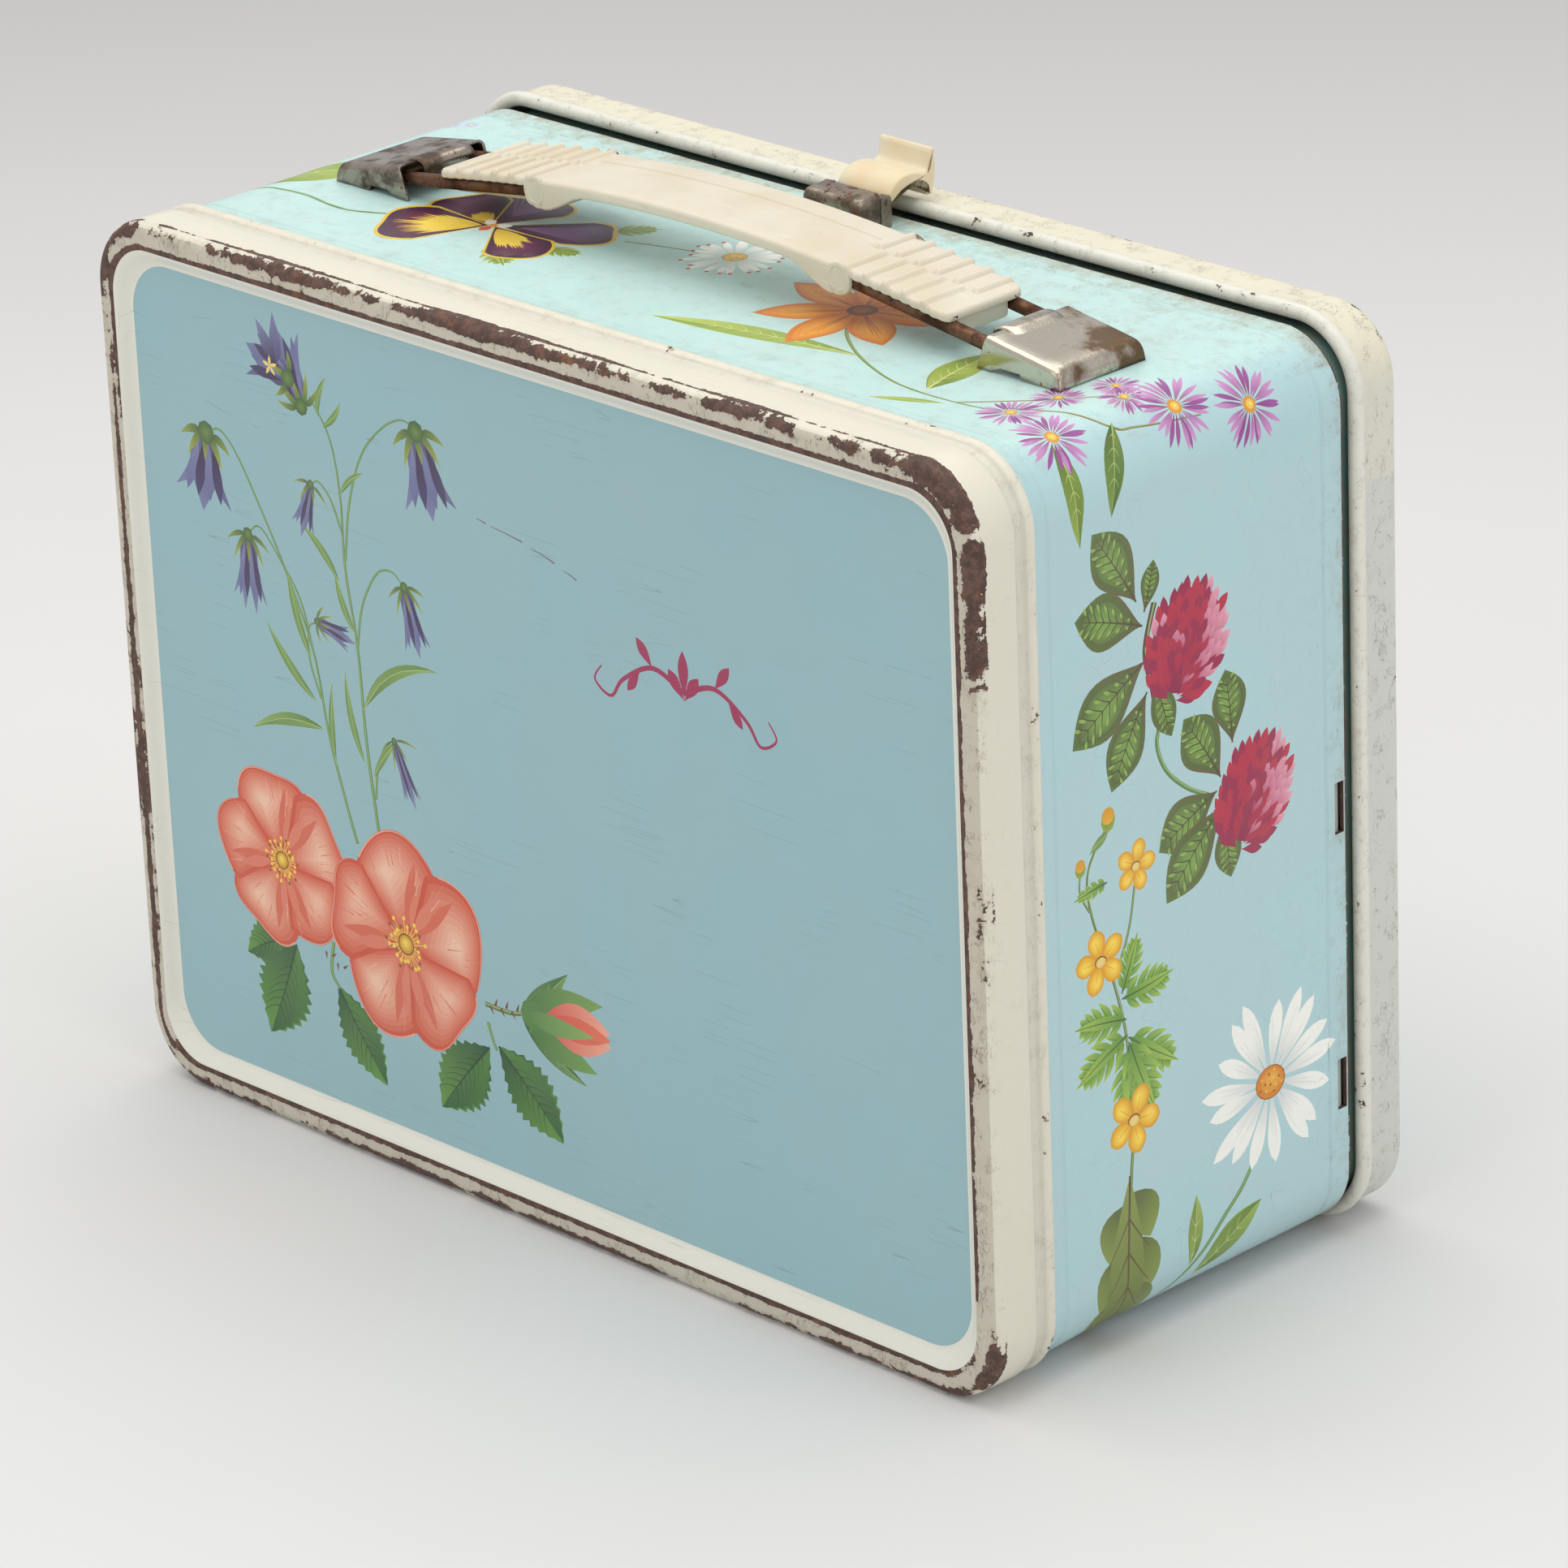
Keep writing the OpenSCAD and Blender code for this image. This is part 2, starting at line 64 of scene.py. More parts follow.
# ------------------------------------------------------------------ colours
def lin(c):
    """An sRGB colour, 0 to 255, as linear RGBA."""
    out = []
    for v in c[:3]:
        v = v / 255
        out.append(v / 12.92 if v <= 0.04045 else ((v + 0.055) / 1.055) ** 2.4)
    return (*out, 1.0)


def blend(a, b, t):
    t = max(0.0, min(1.0, t))
    return tuple(x + (y - x) * t for x, y in zip(a, b))


CREAM = (222, 217, 200)
BAND_BLUE = (176, 208, 212)
PANEL_BLUE = (150, 186, 192)
INSIDE = (176, 182, 172)


# ------------------------------------------------------------------ shader graphs
class Graph:
    """A material's node tree, with short calls for the nodes used here."""

    def __init__(self, name):
        self.mat = bpy.data.materials.new(name)
        self.mat.use_nodes = True
        self.t = self.mat.node_tree
        self.bsdf = self.t.nodes["Principled BSDF"]
        self.mm = self.scale(self.new("ShaderNodeTexCoord").outputs["Object"], (1000, 1000, 1000))

    def new(self, kind, **props):
        n = self.t.nodes.new(kind)
        for k, v in props.items():
            setattr(n, k, v)
        return n

    def put(self, socket, value):
        if isinstance(value, bpy.types.NodeSocket):
            self.t.links.new(value, socket)
        else:
            socket.default_value = value

    def scale(self, vec, by):
        n = self.new("ShaderNodeVectorMath", operation="MULTIPLY")
        self.put(n.inputs[0], vec)
        n.inputs[1].default_value = by
        return n.outputs[0]

    def turn(self, vec, angles, by=(1, 1, 1), shift=(0, 0, 0)):
        n = self.new("ShaderNodeMapping", vector_type="POINT")
        self.put(n.inputs["Vector"], vec)
        n.inputs["Rotation"].default_value = [math.radians(a) for a in angles]
        n.inputs["Scale"].default_value = by
        n.inputs["Location"].default_value = shift
        return n.outputs[0]

    def noise(self, size, detail=3, rough=0.55, vec=None, shift=0, distort=0):
        """Noise with features about size mm across."""
        n = self.new("ShaderNodeTexNoise")
        vec = vec or self.mm
        if shift:
            vec = self.turn(vec, (0, 0, 0), shift=(shift, shift * 1.7, -shift))
        self.put(n.inputs["Vector"], vec)
        n.inputs["Scale"].default_value = 1 / size
        n.inputs["Detail"].default_value = detail
        n.inputs["Roughness"].default_value = rough
        n.inputs["Distortion"].default_value = distort
        return n.outputs[0]

    def cells(self, size, vec):
        """The distance from the middle of the nearest cell, with cells about size mm across."""
        n = self.new("ShaderNodeTexVoronoi", feature="F1")
        self.put(n.inputs["Vector"], vec)
        n.inputs["Scale"].default_value = 1 / size
        return n.outputs["Distance"]

    def math(self, op, a, b=0.0, clamp=False):
        n = self.new("ShaderNodeMath", operation=op, use_clamp=clamp)
        self.put(n.inputs[0], a)
        self.put(n.inputs[1], b)
        return n.outputs[0]

    def mul(self, a, b):
        return self.math("MULTIPLY", a, b)

    def add(self, a, b, clamp=False):
        return self.math("ADD", a, b, clamp)

    def sub(self, a, b):
        return self.math("SUBTRACT", a, b)

    def most(self, a, b):
        return b if a is None else self.math("MAXIMUM", a, b)

    def hairline(self, field, wide, thin):
        """One along the middle of a noise field, none at a distance of wide from it."""
        return self.step(self.math("ABSOLUTE", self.sub(field, 0.5)), wide, thin)

    def step(self, v, lo, hi, out0=0.0, out1=1.0):
        n = self.new("ShaderNodeMapRange", interpolation_type="SMOOTHSTEP")
        for i, x in enumerate((v, lo, hi, out0, out1)):
            self.put(n.inputs[i], x)
        return n.outputs[0]

    def mix(self, fac, a, b):
        n = self.new("ShaderNodeMix", data_type="RGBA")
        self.put(n.inputs[0], fac)
        self.put(n.inputs[6], lin(a) if isinstance(a, tuple) else a)
        self.put(n.inputs[7], lin(b) if isinstance(b, tuple) else b)
        return n.outputs[2]

    def attr(self, name):
        return self.new("ShaderNodeVertexColor", layer_name=name).outputs["Color"]

    def split(self, colour):
        n = self.new("ShaderNodeSeparateColor")
        self.put(n.inputs[0], colour)
        return n.outputs

    def axes(self, vec):
        n = self.new("ShaderNodeSeparateXYZ")
        self.put(n.inputs[0], vec)
        return n.outputs

    def bump(self, height, distance, on=None):
        n = self.new("ShaderNodeBump")
        n.inputs["Strength"].default_value = 1.0
        n.inputs["Distance"].default_value = distance * MM
        self.put(n.inputs["Height"], height)
        if on is not None:
            self.put(n.inputs["Normal"], on)
        return n.outputs[0]

    def done(self, colour, rough, normal=None, metal=0.0, **sockets):
        self.put(self.bsdf.inputs["Base Color"], colour)
        self.put(self.bsdf.inputs["Roughness"], rough)
        self.put(self.bsdf.inputs["Metallic"], metal)
        if normal is not None:
            self.put(self.bsdf.inputs["Normal"], normal)
        for k, v in sockets.items():
            self.bsdf.inputs[k.replace("_", " ")].default_value = v
        return self.mat


def paint_material(name):
    """Enamel on steel. The mesh's 'paint' layer holds its colours. Its 'wear' layer holds how chipped (red),
    how grimy (green) and how crackled (blue) each place is."""
    g = Graph(name)
    base = g.attr("paint")
    chip_w, dirt_w, crack_w = g.split(g.attr("wear"))
    big, mid, fine = g.noise(8, 3), g.noise(2.2, 5, 0.68, shift=11), g.noise(0.5, 3, 0.6, shift=23)
    # chips: rough islands that follow the worn edges
    field = g.add(g.mul(big, 0.60), g.mul(mid, 0.72))
    field = g.add(field, g.mul(fine, 0.20))
    field = g.add(field, g.mul(chip_w, 0.80))
    chip = g.step(field, 1.272, 1.284)
    halo = g.step(field, 1.12, 1.275)
    # small pits and specks
    speck_cell = g.cells(1.5, g.turn(g.mm, (20, 35, 50)))
    speck_on = g.step(g.noise(10, 3, shift=41), 0.48, 0.60)
    speck = g.mul(g.step(speck_cell, 0.12, 0.05), g.mul(speck_on, crack_w))
    # short broken cracks
    crack = None
    for turned, shift in (((0, 0, 0), 3), ((0, 90, 0), 29)):
        hair = g.noise(0.9, 2, 0.5, vec=g.turn(g.mm, turned, (1.6, 0.7, 0.28), (shift, 0, shift)),
                       distort=1.2)
        line = g.hairline(hair, 0.016, 0.005)
        crack = g.most(crack, g.mul(line, g.step(g.noise(3.5, 3, shift=59 + shift), 0.54, 0.60)))
    crack = g.mul(crack, crack_w)
    # long fine scratches in several directions, few of them
    marks = None
    for angle, shift in ((17, 0), (-38, 31), (71, 67), (118, 90)):
        long = g.noise(1.0, 0, 0.4, vec=g.turn(g.mm, (0, angle, angle * 0.6), (0.008, 0.3, 0.3),
                                               (shift, shift, 0)))
        line = g.hairline(long, 0.0030, 0.0008)
        marks = g.most(marks, g.mul(line, g.step(g.noise(16, 2, shift=shift + 5), 0.60, 0.68)))
    # grime: soft stains with a gritty edge
    stain = g.add(g.noise(5, 6, 0.72, shift=83), g.mul(dirt_w, 0.50))
    stain = g.step(stain, 0.66, 1.10)
    streak = g.noise(1.0, 4, 0.6, vec=g.turn(g.mm, (0, 0, 0), (0.9, 0.25, 0.25)), shift=51)
    stain = g.mul(stain, g.step(streak, 0.3, 0.7, 0.55, 1.0))
    film = g.step(g.noise(30, 4, 0.6, shift=97), 0.35, 0.75)
    colour = g.mix(g.mul(film, 0.06), base, (196, 190, 170))
    colour = g.mix(g.mul(stain, 0.70), colour, (158, 132, 92))
    colour = g.mix(g.mul(halo, g.mul(0.34, crack_w)), colour, (176, 160, 138))
    colour = g.mix(g.mul(marks, 0.30), colour, (104, 104, 102))
    colour = g.mix(g.mul(g.most(speck, crack), 0.8), colour, (112, 84, 64))
    steel = g.mix(g.step(g.noise(1.6, 4, 0.7, shift=7), 0.42, 0.62), (78, 56, 48), (104, 76, 66))
    steel = g.mix(g.step(g.noise(5, 4, 0.7, shift=17), 0.58, 0.72), steel, (128, 84, 52))
    colour = g.mix(chip, colour, steel)
    rough = g.step(g.noise(12, 3, shift=29), 0.3, 0.7, 0.3, 0.42)
    rough = g.add(rough, g.mul(stain, 0.2))
    rough = g.add(rough, g.mul(chip, 0.35), clamp=True)
    height = g.sub(1.0, g.most(chip, g.mul(marks, 0.2)))
    height = g.sub(height, g.mul(crack, 0.4))
    height = g.add(height, g.mul(fine, g.mul(chip, 0.8)))
    normal = g.bump(height, 0.12)
    normal = g.bump(g.noise(0.9, 2, shift=3), 0.008, on=normal)
    return g.done(colour, rough, normal, Specular_IOR_Level=0.5)


# ------------------------------------------------------------------ artwork
class Art:
    """Flat shapes, painted one over the other: outlines in mm, with a colour that may change across them."""

    def __init__(self):
        self.shapes = []

    def add(self, pts, c0, c1=None, a=None, b=None):
        if len(pts) < 3:
            return
        f0 = lin(c0)
        if c1 is None:
            paint = lambda p: f0
        elif b is None or isinstance(b, (int, float)):
            f1, ax, ay, r = lin(c1), a[0], a[1], b
            paint = lambda p: blend(f0, f1, math.hypot(p[0] - ax, p[1] - ay) / r)
        else:
            f1, ax, ay, dx, dy = lin(c1), a[0], a[1], b[0] - a[0], b[1] - a[1]
            k = dx * dx + dy * dy or 1.0
            paint = lambda p: blend(f0, f1, ((p[0] - ax) * dx + (p[1] - ay) * dy) / k)
        self.shapes.append((pts, paint))


def polar(a, r):
    a = math.radians(a)
    return (math.cos(a) * r, math.sin(a) * r)


def off(p, a, r):
    q = polar(a, r)
    return (p[0] + q[0], p[1] + q[1])


def heading(a, b):
    """The direction from a to b, in degrees."""
    return math.degrees(math.atan2(b[1] - a[1], b[0] - a[0]))


def blade(p, ang, length, width, fat=0.5, bend=0.0, n=9, teeth=0, bite=0.0, side=None, round_end=1.0):
    """Outline of a petal or leaf that grows from p at an angle, in degrees."""
    k = math.log(0.5) / math.log(fat)
    if teeth:
        n = teeth * 2
    spine, x, y = [], p[0], p[1]
    for i in range(n + 1):
        t = i / n
        spine.append((x, y, ang + bend * t))
        q = polar(ang + bend * (t + 0.5 / n), length / n)
        x, y = x + q[0], y + q[1]
    left, right = [], []
    for i, (x, y, a) in enumerate(spine):
        t = i / n
        h = width / 2 * max(0.0, math.sin(math.pi * t ** k)) ** round_end
        if teeth and 0 < i < n:
            h *= 1 + (bite if i % 2 else -bite)
        if side != "R":
            left.append(off((x, y), a + 90, h))
        else:
            left.append((x, y))
        if side != "L":
            right.append(off((x, y), a - 90, h))
        else:
            right.append((x, y))
    pts = left + right[::-1]
    out = []
    for q in pts:
        if not out or math.hypot(q[0] - out[-1][0], q[1] - out[-1][1]) > 0.01:
            out.append(q)
    if math.hypot(out[0][0] - out[-1][0], out[0][1] - out[-1][1]) < 0.01:
        out.pop()
    return out


def along(p, ang, length, bend, t):
    """The point and direction at a share t of a blade's middle line."""
    n, (x, y) = 8, p
    for i in range(n):
        q = polar(ang + bend * (t * (i + 0.5) / n), length * t / n)
        x, y = x + q[0], y + q[1]
    return (x, y), ang + bend * t


def curve(points, n=6):
    """Points on a smooth line through the given ones."""
    p = [points[0]] + list(points) + [points[-1]]
    out = []
    for i in range(1, len(p) - 2):
        for j in range(n):
            t = j / n
            q = []
            for d in (0, 1):
                a, b, c, e = p[i - 1][d], p[i][d], p[i + 1][d], p[i + 2][d]
                q.append(0.5 * (2 * b + (c - a) * t + (2 * a - 5 * b + 4 * c - e) * t * t
                                + (3 * b - a - 3 * c + e) * t ** 3))
            out.append(tuple(q))
    out.append(points[-1])
    return out


def ribbon(points, w0, w1=None, n=6):
    """A line with a width that goes from w0 to w1, as an outline."""
    w1 = w0 if w1 is None else w1
    c = curve(points, n) if n > 1 else list(points)
    left, right = [], []
    for i, q in enumerate(c):
        a, b = c[max(0, i - 1)], c[min(len(c) - 1, i + 1)]
        ang = heading(a, b)
        h = (w0 + (w1 - w0) * i / (len(c) - 1)) / 2
        left.append(off(q, ang + 90, h))
        right.append(off(q, ang - 90, h))
    return left + right[::-1]


def disc(p, r, n=10, squash=1.0):
    ring = (polar(360 * i / n, r) for i in range(n))
    return [(p[0] + x, p[1] + y * squash) for x, y in ring]


def leaf(art, p, ang, length, width, dark, light, fat=0.45, bend=0, teeth=0, bite=0.0, veins=4, rib=None):
    """A leaf with one lighter half, a midrib and side veins."""
    tip, _ = along(p, ang, length, bend, 1)
    art.add(blade(p, ang, length, width, fat, bend, teeth=teeth, bite=bite), dark, light, p, tip)
    half = blade(p, ang, length, width * 0.86, fat, bend, teeth=teeth, bite=bite, side="L")
    art.add(half, blend(dark, light, 0.75), blend(dark, light, 0.25), p, tip)
    rib = rib or blend(light, (235, 240, 190), 0.35)
    line = [along(p, ang, length, bend, t)[0] for t in (0, 0.3, 0.6, 0.93)]
    for i in range(veins):
        t = 0.15 + 0.62 * i / max(1, veins)
        q, a = along(p, ang, length, bend, t)
        reach = width * 0.40 * math.sin(math.pi * t ** (math.log(0.5) / math.log(fat)))
        for s in (1, -1):
            end = off(q, a + s * 38, reach * 1.15)
            art.add(ribbon([q, off(q, a + s * 48, reach * 0.55), end], 0.22, 0.06, 2), rib)
    art.add(ribbon(line, min(0.55, width * 0.06), 0.1, 2), rib)


def stem(art, pts, w0, w1, colour=(92, 132, 72)):
    art.add(ribbon(pts, w0, w1), colour)
    c = curve(pts)
    art.add(ribbon([off(q, 135, w0 * 0.16) for q in c[::3] + [c[-1]]], w0 * 0.3, w1 * 0.3, 1),
            (150, 180, 110))


VIOLET, VIOLET_L, VIOLET_D = (74, 68, 108), (126, 130, 168), (58, 36, 70)
SEPAL, SEPAL_L = (70, 100, 60), (164, 176, 72)


def bell(art, p, ang, length, width, lobes=3, sepals=5):
    """A hanging bellflower seen from the side, joined to its stem at p, with its mouth toward ang."""
    side = ang + 90
    tips = []
    for i in range(lobes):
        s = -1 + 2 * i / (lobes - 1)
        tips.append((s, 1.0 + 0.16 * (1 - s * s) + rnd.uniform(-0.04, 0.04)))
    spot = lambda far, across: off(off(p, ang, length * far), side, across)
    flanks = ((0, 0.16), (0.18, 0.27), (0.5, 0.30), (0.68, 0.38))
    outline = [spot(far, -width * m) for far, m in flanks]
    for i, (s, reach) in enumerate(tips):
        outline.append(spot(reach, s * width * 0.56))
        if i < lobes - 1:
            m = (s + tips[i + 1][0]) / 2
            outline.append(spot(0.76, m * width * 0.44))
    outline += [spot(far, width * m) for far, m in flanks[::-1]]
    art.add(outline, VIOLET, VIOLET_L, spot(0, width * 0.3), spot(1, -width * 0.4))
    for i, s in enumerate((-0.75, -0.25, 0.3, 0.8)):
        a, b = spot(0.1, s * width * 0.16), spot(0.95, s * width * 0.44)
        art.add(blade(a, heading(a, b), length * 0.88, width * 0.19, 0.6), VIOLET_D if i % 2 else VIOLET_L,
                VIOLET if i % 2 else (104, 108, 150), a, b)
    for i in range(sepals):
        s = -1 + 2 * i / (sepals - 1)
        a = off(p, side, s * width * 0.13)
        art.add(blade(a, ang + s * 82, length * (0.42 + 0.12 * (i % 2)), width * 0.13, 0.3, -s * 38), SEPAL,
                SEPAL_L, a, off(a, ang + s * 60, length * 0.5))
    art.add(disc(p, width * 0.17, 8), (112, 140, 70), SEPAL, p, width * 0.17)


def nested(art, pts, c0, c1, toward, steps=6, reach=0.82):
    """A shape whose colour goes softly from c0 at its outline to c1 at a place inside it."""
    for k in range(steps + 1):
        f = k / steps
        m = 1 - reach * f
        art.add([(toward[0] + (q[0] - toward[0]) * m, toward[1] + (q[1] - toward[1]) * m) for q in pts],
                blend(c0, c1, f ** 0.75))


def rose_petal(art, c, a, reach, spread, deep, pale, lean):
    rim = []
    for k in range(-9, 10):
        t = k / 9
        wave = 1 + 0.045 * math.sin(4.5 * t + a) - 0.20 * abs(t) ** 3.2
        rim.append(off(c, a + spread * t, reach * wave))
    pts = [off(c, a, reach * 0.04)] + rim
    bright = off(c, a + lean * spread * 0.30, reach * 0.66)
    nested(art, pts, deep, pale, bright, 8, 0.84)
    for k in range(2):
        fold = off(c, a - lean * spread * (0.35 + 0.3 * k), reach * 0.18)
        art.add(blade(fold, a - lean * spread * (0.42 + 0.22 * k), reach * (0.66 - 0.14 * k), reach * 0.13,
                      0.45), blend(deep, pale, 0.22 + 0.2 * k))
    for k in range(11):
        t = rnd.uniform(-0.75, 0.75)
        start = rnd.uniform(0.5, 0.76)
        line = [off(c, a + spread * t, reach * m * (1 - 0.16 * abs(t) ** 3)) for m in (start, start + 0.19)]
        art.add(ribbon(line, reach * 0.011, reach * 0.003, 1), blend(deep, pale,
                                                                     rnd.choice((0.25, 0.5, 0.9))))
    art.add(ribbon([off(q, a + 180, reach * 0.012) for q in rim[2:-2]], reach * 0.006, reach * 0.018, 1),
            blend(deep, pale, 0.75))


def wild_rose(art, c, r, turn):
    """An open five-petalled flower, coral in its shade, peach where it is lit, with a golden middle."""
    deep, pale = (206, 80, 56), (240, 192, 164)
    for i, m, spread, lean in ((0, 1.02, 43, 1), (2, 0.99, 42, -1), (4, 1.04, 44, -1), (1, 1.0, 38, -1),
                               (3, 0.97, 41, 1)):
        rose_petal(art, c, turn + 72 * i, r * m, spread, deep, blend(pale, (236, 166, 138), 0.35 * (i % 2)),
                   lean)
    art.add(disc(c, r * 0.15, 12), (222, 150, 52), (216, 110, 60), c, r * 0.18)
    for i in range(30):
        a = 12 * i + rnd.uniform(-5, 5)
        far = r * rnd.uniform(0.15, 0.26)
        art.add(ribbon([off(c, a, r * 0.08), off(c, a, far)], r * 0.014, r * 0.01, 1), (232, 190, 84))
        art.add(disc(off(c, a, far), r * 0.022, 6), (246, 208, 76) if i % 3 else (150, 92, 36))
    art.add(disc(c, r * 0.105, 12), (120, 78, 34))
    nested(art, disc(c, r * 0.09, 12), (206, 150, 44), (246, 214, 92), off(c, 120, r * 0.02), 3)


def daisy(art, c, r, petals, colour, shade, heart, heart_r, turn=0, thin=0.22, squash=1.0, tip=None):
    for i in range(petals):
        a = turn + 360 * i / petals + rnd.uniform(-5, 5)
        reach = r * rnd.uniform(0.86, 1.05)
        q = off(c, a, heart_r * 0.6)
        art.add(blade(q, a, reach - heart_r * 0.6, r * thin, 0.66, rnd.uniform(-8, 8), n=9, round_end=0.72),
                shade, colour, q, off(c, a, reach * 0.6))
        for k in (-1, 1):
            line = [off(c, a + k * 2, heart_r), off(c, a + k * 2.4, reach * rnd.uniform(0.55, 0.85))]
            art.add(ribbon(line, r * 0.012, r * 0.004, 1), blend(shade, colour, 0.3))
        if tip:
            art.add(disc(off(c, a, reach * 0.97), r * 0.05, 6), tip)
    art.add(disc(c, heart_r, 16, squash), blend(heart, (110, 56, 16), 0.4))
    nested(art, disc(c, heart_r * 0.92, 14, squash), heart, blend(heart, (255, 216, 110), 0.5),
           off(c, 140, heart_r * 0.3), 3)
    for i in range(12):
        q = polar(i * 137.5, heart_r * 0.8 * math.sqrt((i + 0.5) / 12))
        art.add(disc((c[0] + q[0], c[1] + q[1] * squash), heart_r * 0.10, 5),
                blend(heart, (255, 236, 150), 0.5) if i % 2 else blend(heart, (110, 56, 16), 0.5))


def clover(art, c, r_long, r_wide, ang):
    """A clover head: crimson pointed florets that fan out from its base, paler on its upper side."""
    crimson, red, pale = (154, 30, 72), (190, 42, 66), (234, 166, 184)

    def place(turn, m):
        q = polar(turn, m)
        return off(off(c, ang, q[0] * r_long), ang + 90, q[1] * r_wide)

    root = off(c, ang + 180, r_long)
    art.add([place(360 * k / 24, 0.86) for k in range(24)], (138, 26, 72), (172, 34, 70), root,
            off(c, ang, r_long))
    for row in range(6):
        m = 1.06 - 0.17 * row
        count = 25 - 3 * row
        for k in range(count):
            turn = -140 + 280 * (k + 0.5 * (row % 2)) / (count - 1) + rnd.uniform(-3, 3)
            tip = place(turn, m * rnd.uniform(0.95, 1.04))
            lean = heading(root, tip)
            length = r_long * (0.52 - 0.03 * row)
            base = off(tip, lean + 180, length)
            side = soft(-turn, -30, 70) * soft(turn, -135, -60) if row < 4 else 0.0
            tone = pale if rnd.random() < 0.85 * side + 0.06 else (red if rnd.random() < 0.5 else crimson)
            art.add(blade(base, lean, length, r_wide * 0.21, 0.62, rnd.uniform(-5, 5), n=7),
                    blend(crimson, tone, 0.25), blend(tone, crimson, 0.06 * row), base, tip)


def clover_leaf(art, p, ang, length, width):
    """Olive, browner toward the base, with bright bands between dark veins."""
    tip, _ = along(p, ang, length, 8, 1)
    art.add(blade(p, ang, length, width, 0.58, 8, n=12), (104, 86, 56), (88, 116, 50), p, tip)
    nested(art, blade(off(p, ang, length * 0.05), ang, length * 0.9, width * 0.84, 0.58, 8, n=12),
           (86, 104, 52), (124, 160, 74), off(p, ang + 6, length * 0.6), 4, 0.7)
    for i in range(7):
        t = 0.16 + 0.72 * i / 7
        q, a = along(p, ang, length, 8, t)
        reach = width * 0.36 * math.sin(math.pi * t ** 1.27)
        for s in (1, -1):
            start, end = off(q, a + s * 62, reach * 0.42), off(q, a + s * 56, reach * 1.02)
            art.add(blade(off(start, a, length * 0.035), a + s * 56, reach * 0.62, width * 0.065, 0.5,
                          -s * 10, n=6), (118, 154, 72), (150, 180, 86), start, end)
            art.add(ribbon([q, off(q, a + s * 52, reach * 0.55), end], 0.26, 0.10, 2), (66, 66, 38))
    art.add(ribbon([along(p, ang, length, 8, t)[0] for t in (0, 0.3, 0.6, 0.9)], 0.42, 0.14, 2),
            (84, 70, 44))


def buttercup(art, c, r, turn):
    for i in range(5):
        a = turn + 72 * i
        q = off(c, a, r * 0.10)
        pts = blade(q, a, r * 0.9, r * 0.68, 0.56, 0, n=12, round_end=0.55)
        nested(art, pts, (222, 158, 26), (250, 214, 78), off(c, a + 8, r * 0.62), 4, 0.7)
        art.add(ribbon([off(c, a, r * 0.25), off(c, a + 3, r * 0.66)], r * 0.04, r * 0.015, 1),
                (226, 156, 34))
    art.add(disc(c, r * 0.18, 10, 1.35), (150, 92, 40))
    art.add(disc(off(c, 20, r * 0.03), r * 0.15, 10, 1.35), (246, 226, 150), (226, 190, 90), c, r * 0.2)


def feather_leaf(art, p, ang, length, spread, dark=(86, 138, 50), light=(168, 200, 84)):
    """A leaf cut into narrow pointed lobes on both sides of its rib."""
    for t, reach in ((0.12, 0.34), (0.30, 0.42), (0.48, 0.36), (0.64, 0.28), (0.78, 0.18)):
        q, a = along(p, ang, length, 8, t)
        for s in (1, -1):
            lobe = length * reach * spread
            for d, m in ((54, 1.0), (24, 0.72)):
                art.add(blade(off(q, a + 180, length * 0.03), a + s * d, lobe * m, length * 0.12, 0.42,
                              -s * 22, n=6), dark, light, q, off(q, a + s * d, lobe))
            art.add(ribbon([q, off(q, a + s * 46, lobe * 0.7)], 0.22, 0.08, 1), (70, 96, 44))
    art.add(blade(p, ang, length, length * 0.17, 0.40, 8, n=9), dark, light, p, off(p, ang, length))
    art.add(ribbon([along(p, ang, length, 8, t)[0] for t in (0, 0.3, 0.6, 0.95)], 0.35, 0.12, 2),
            (70, 96, 44))


def aster(art, c, r):
    for ring in range(2):
        for i in range(13):
            a = 360 / 13 * (i + 0.5 * ring) + rnd.uniform(-5, 5)
            reach = r * rnd.uniform(0.80, 1.06)
            tone = (200, 140, 194) if (i + ring) % 3 else (154, 76, 150)
            art.add(blade(off(c, a, r * 0.1), a, reach * 0.92, r * 0.125, 0.64, rnd.uniform(-14, 14), n=7),
                    (116, 50, 112), tone, c, off(c, a, reach * 0.8))
    nested(art, disc(c, r * 0.19, 10), (214, 150, 44), (250, 222, 110), off(c, 120, r * 0.04), 2)


def fan(c, a, reach, spread):
    """A wide rounded petal that opens from c."""
    rim = []
    for k in range(-10, 11):
        t = k / 10
        rim.append(off(c, a + spread * t, reach * (1 + 0.03 * math.sin(5 * t + a) - 0.26 * abs(t) ** 3)))
    return [off(c, a, reach * 0.03)] + rim


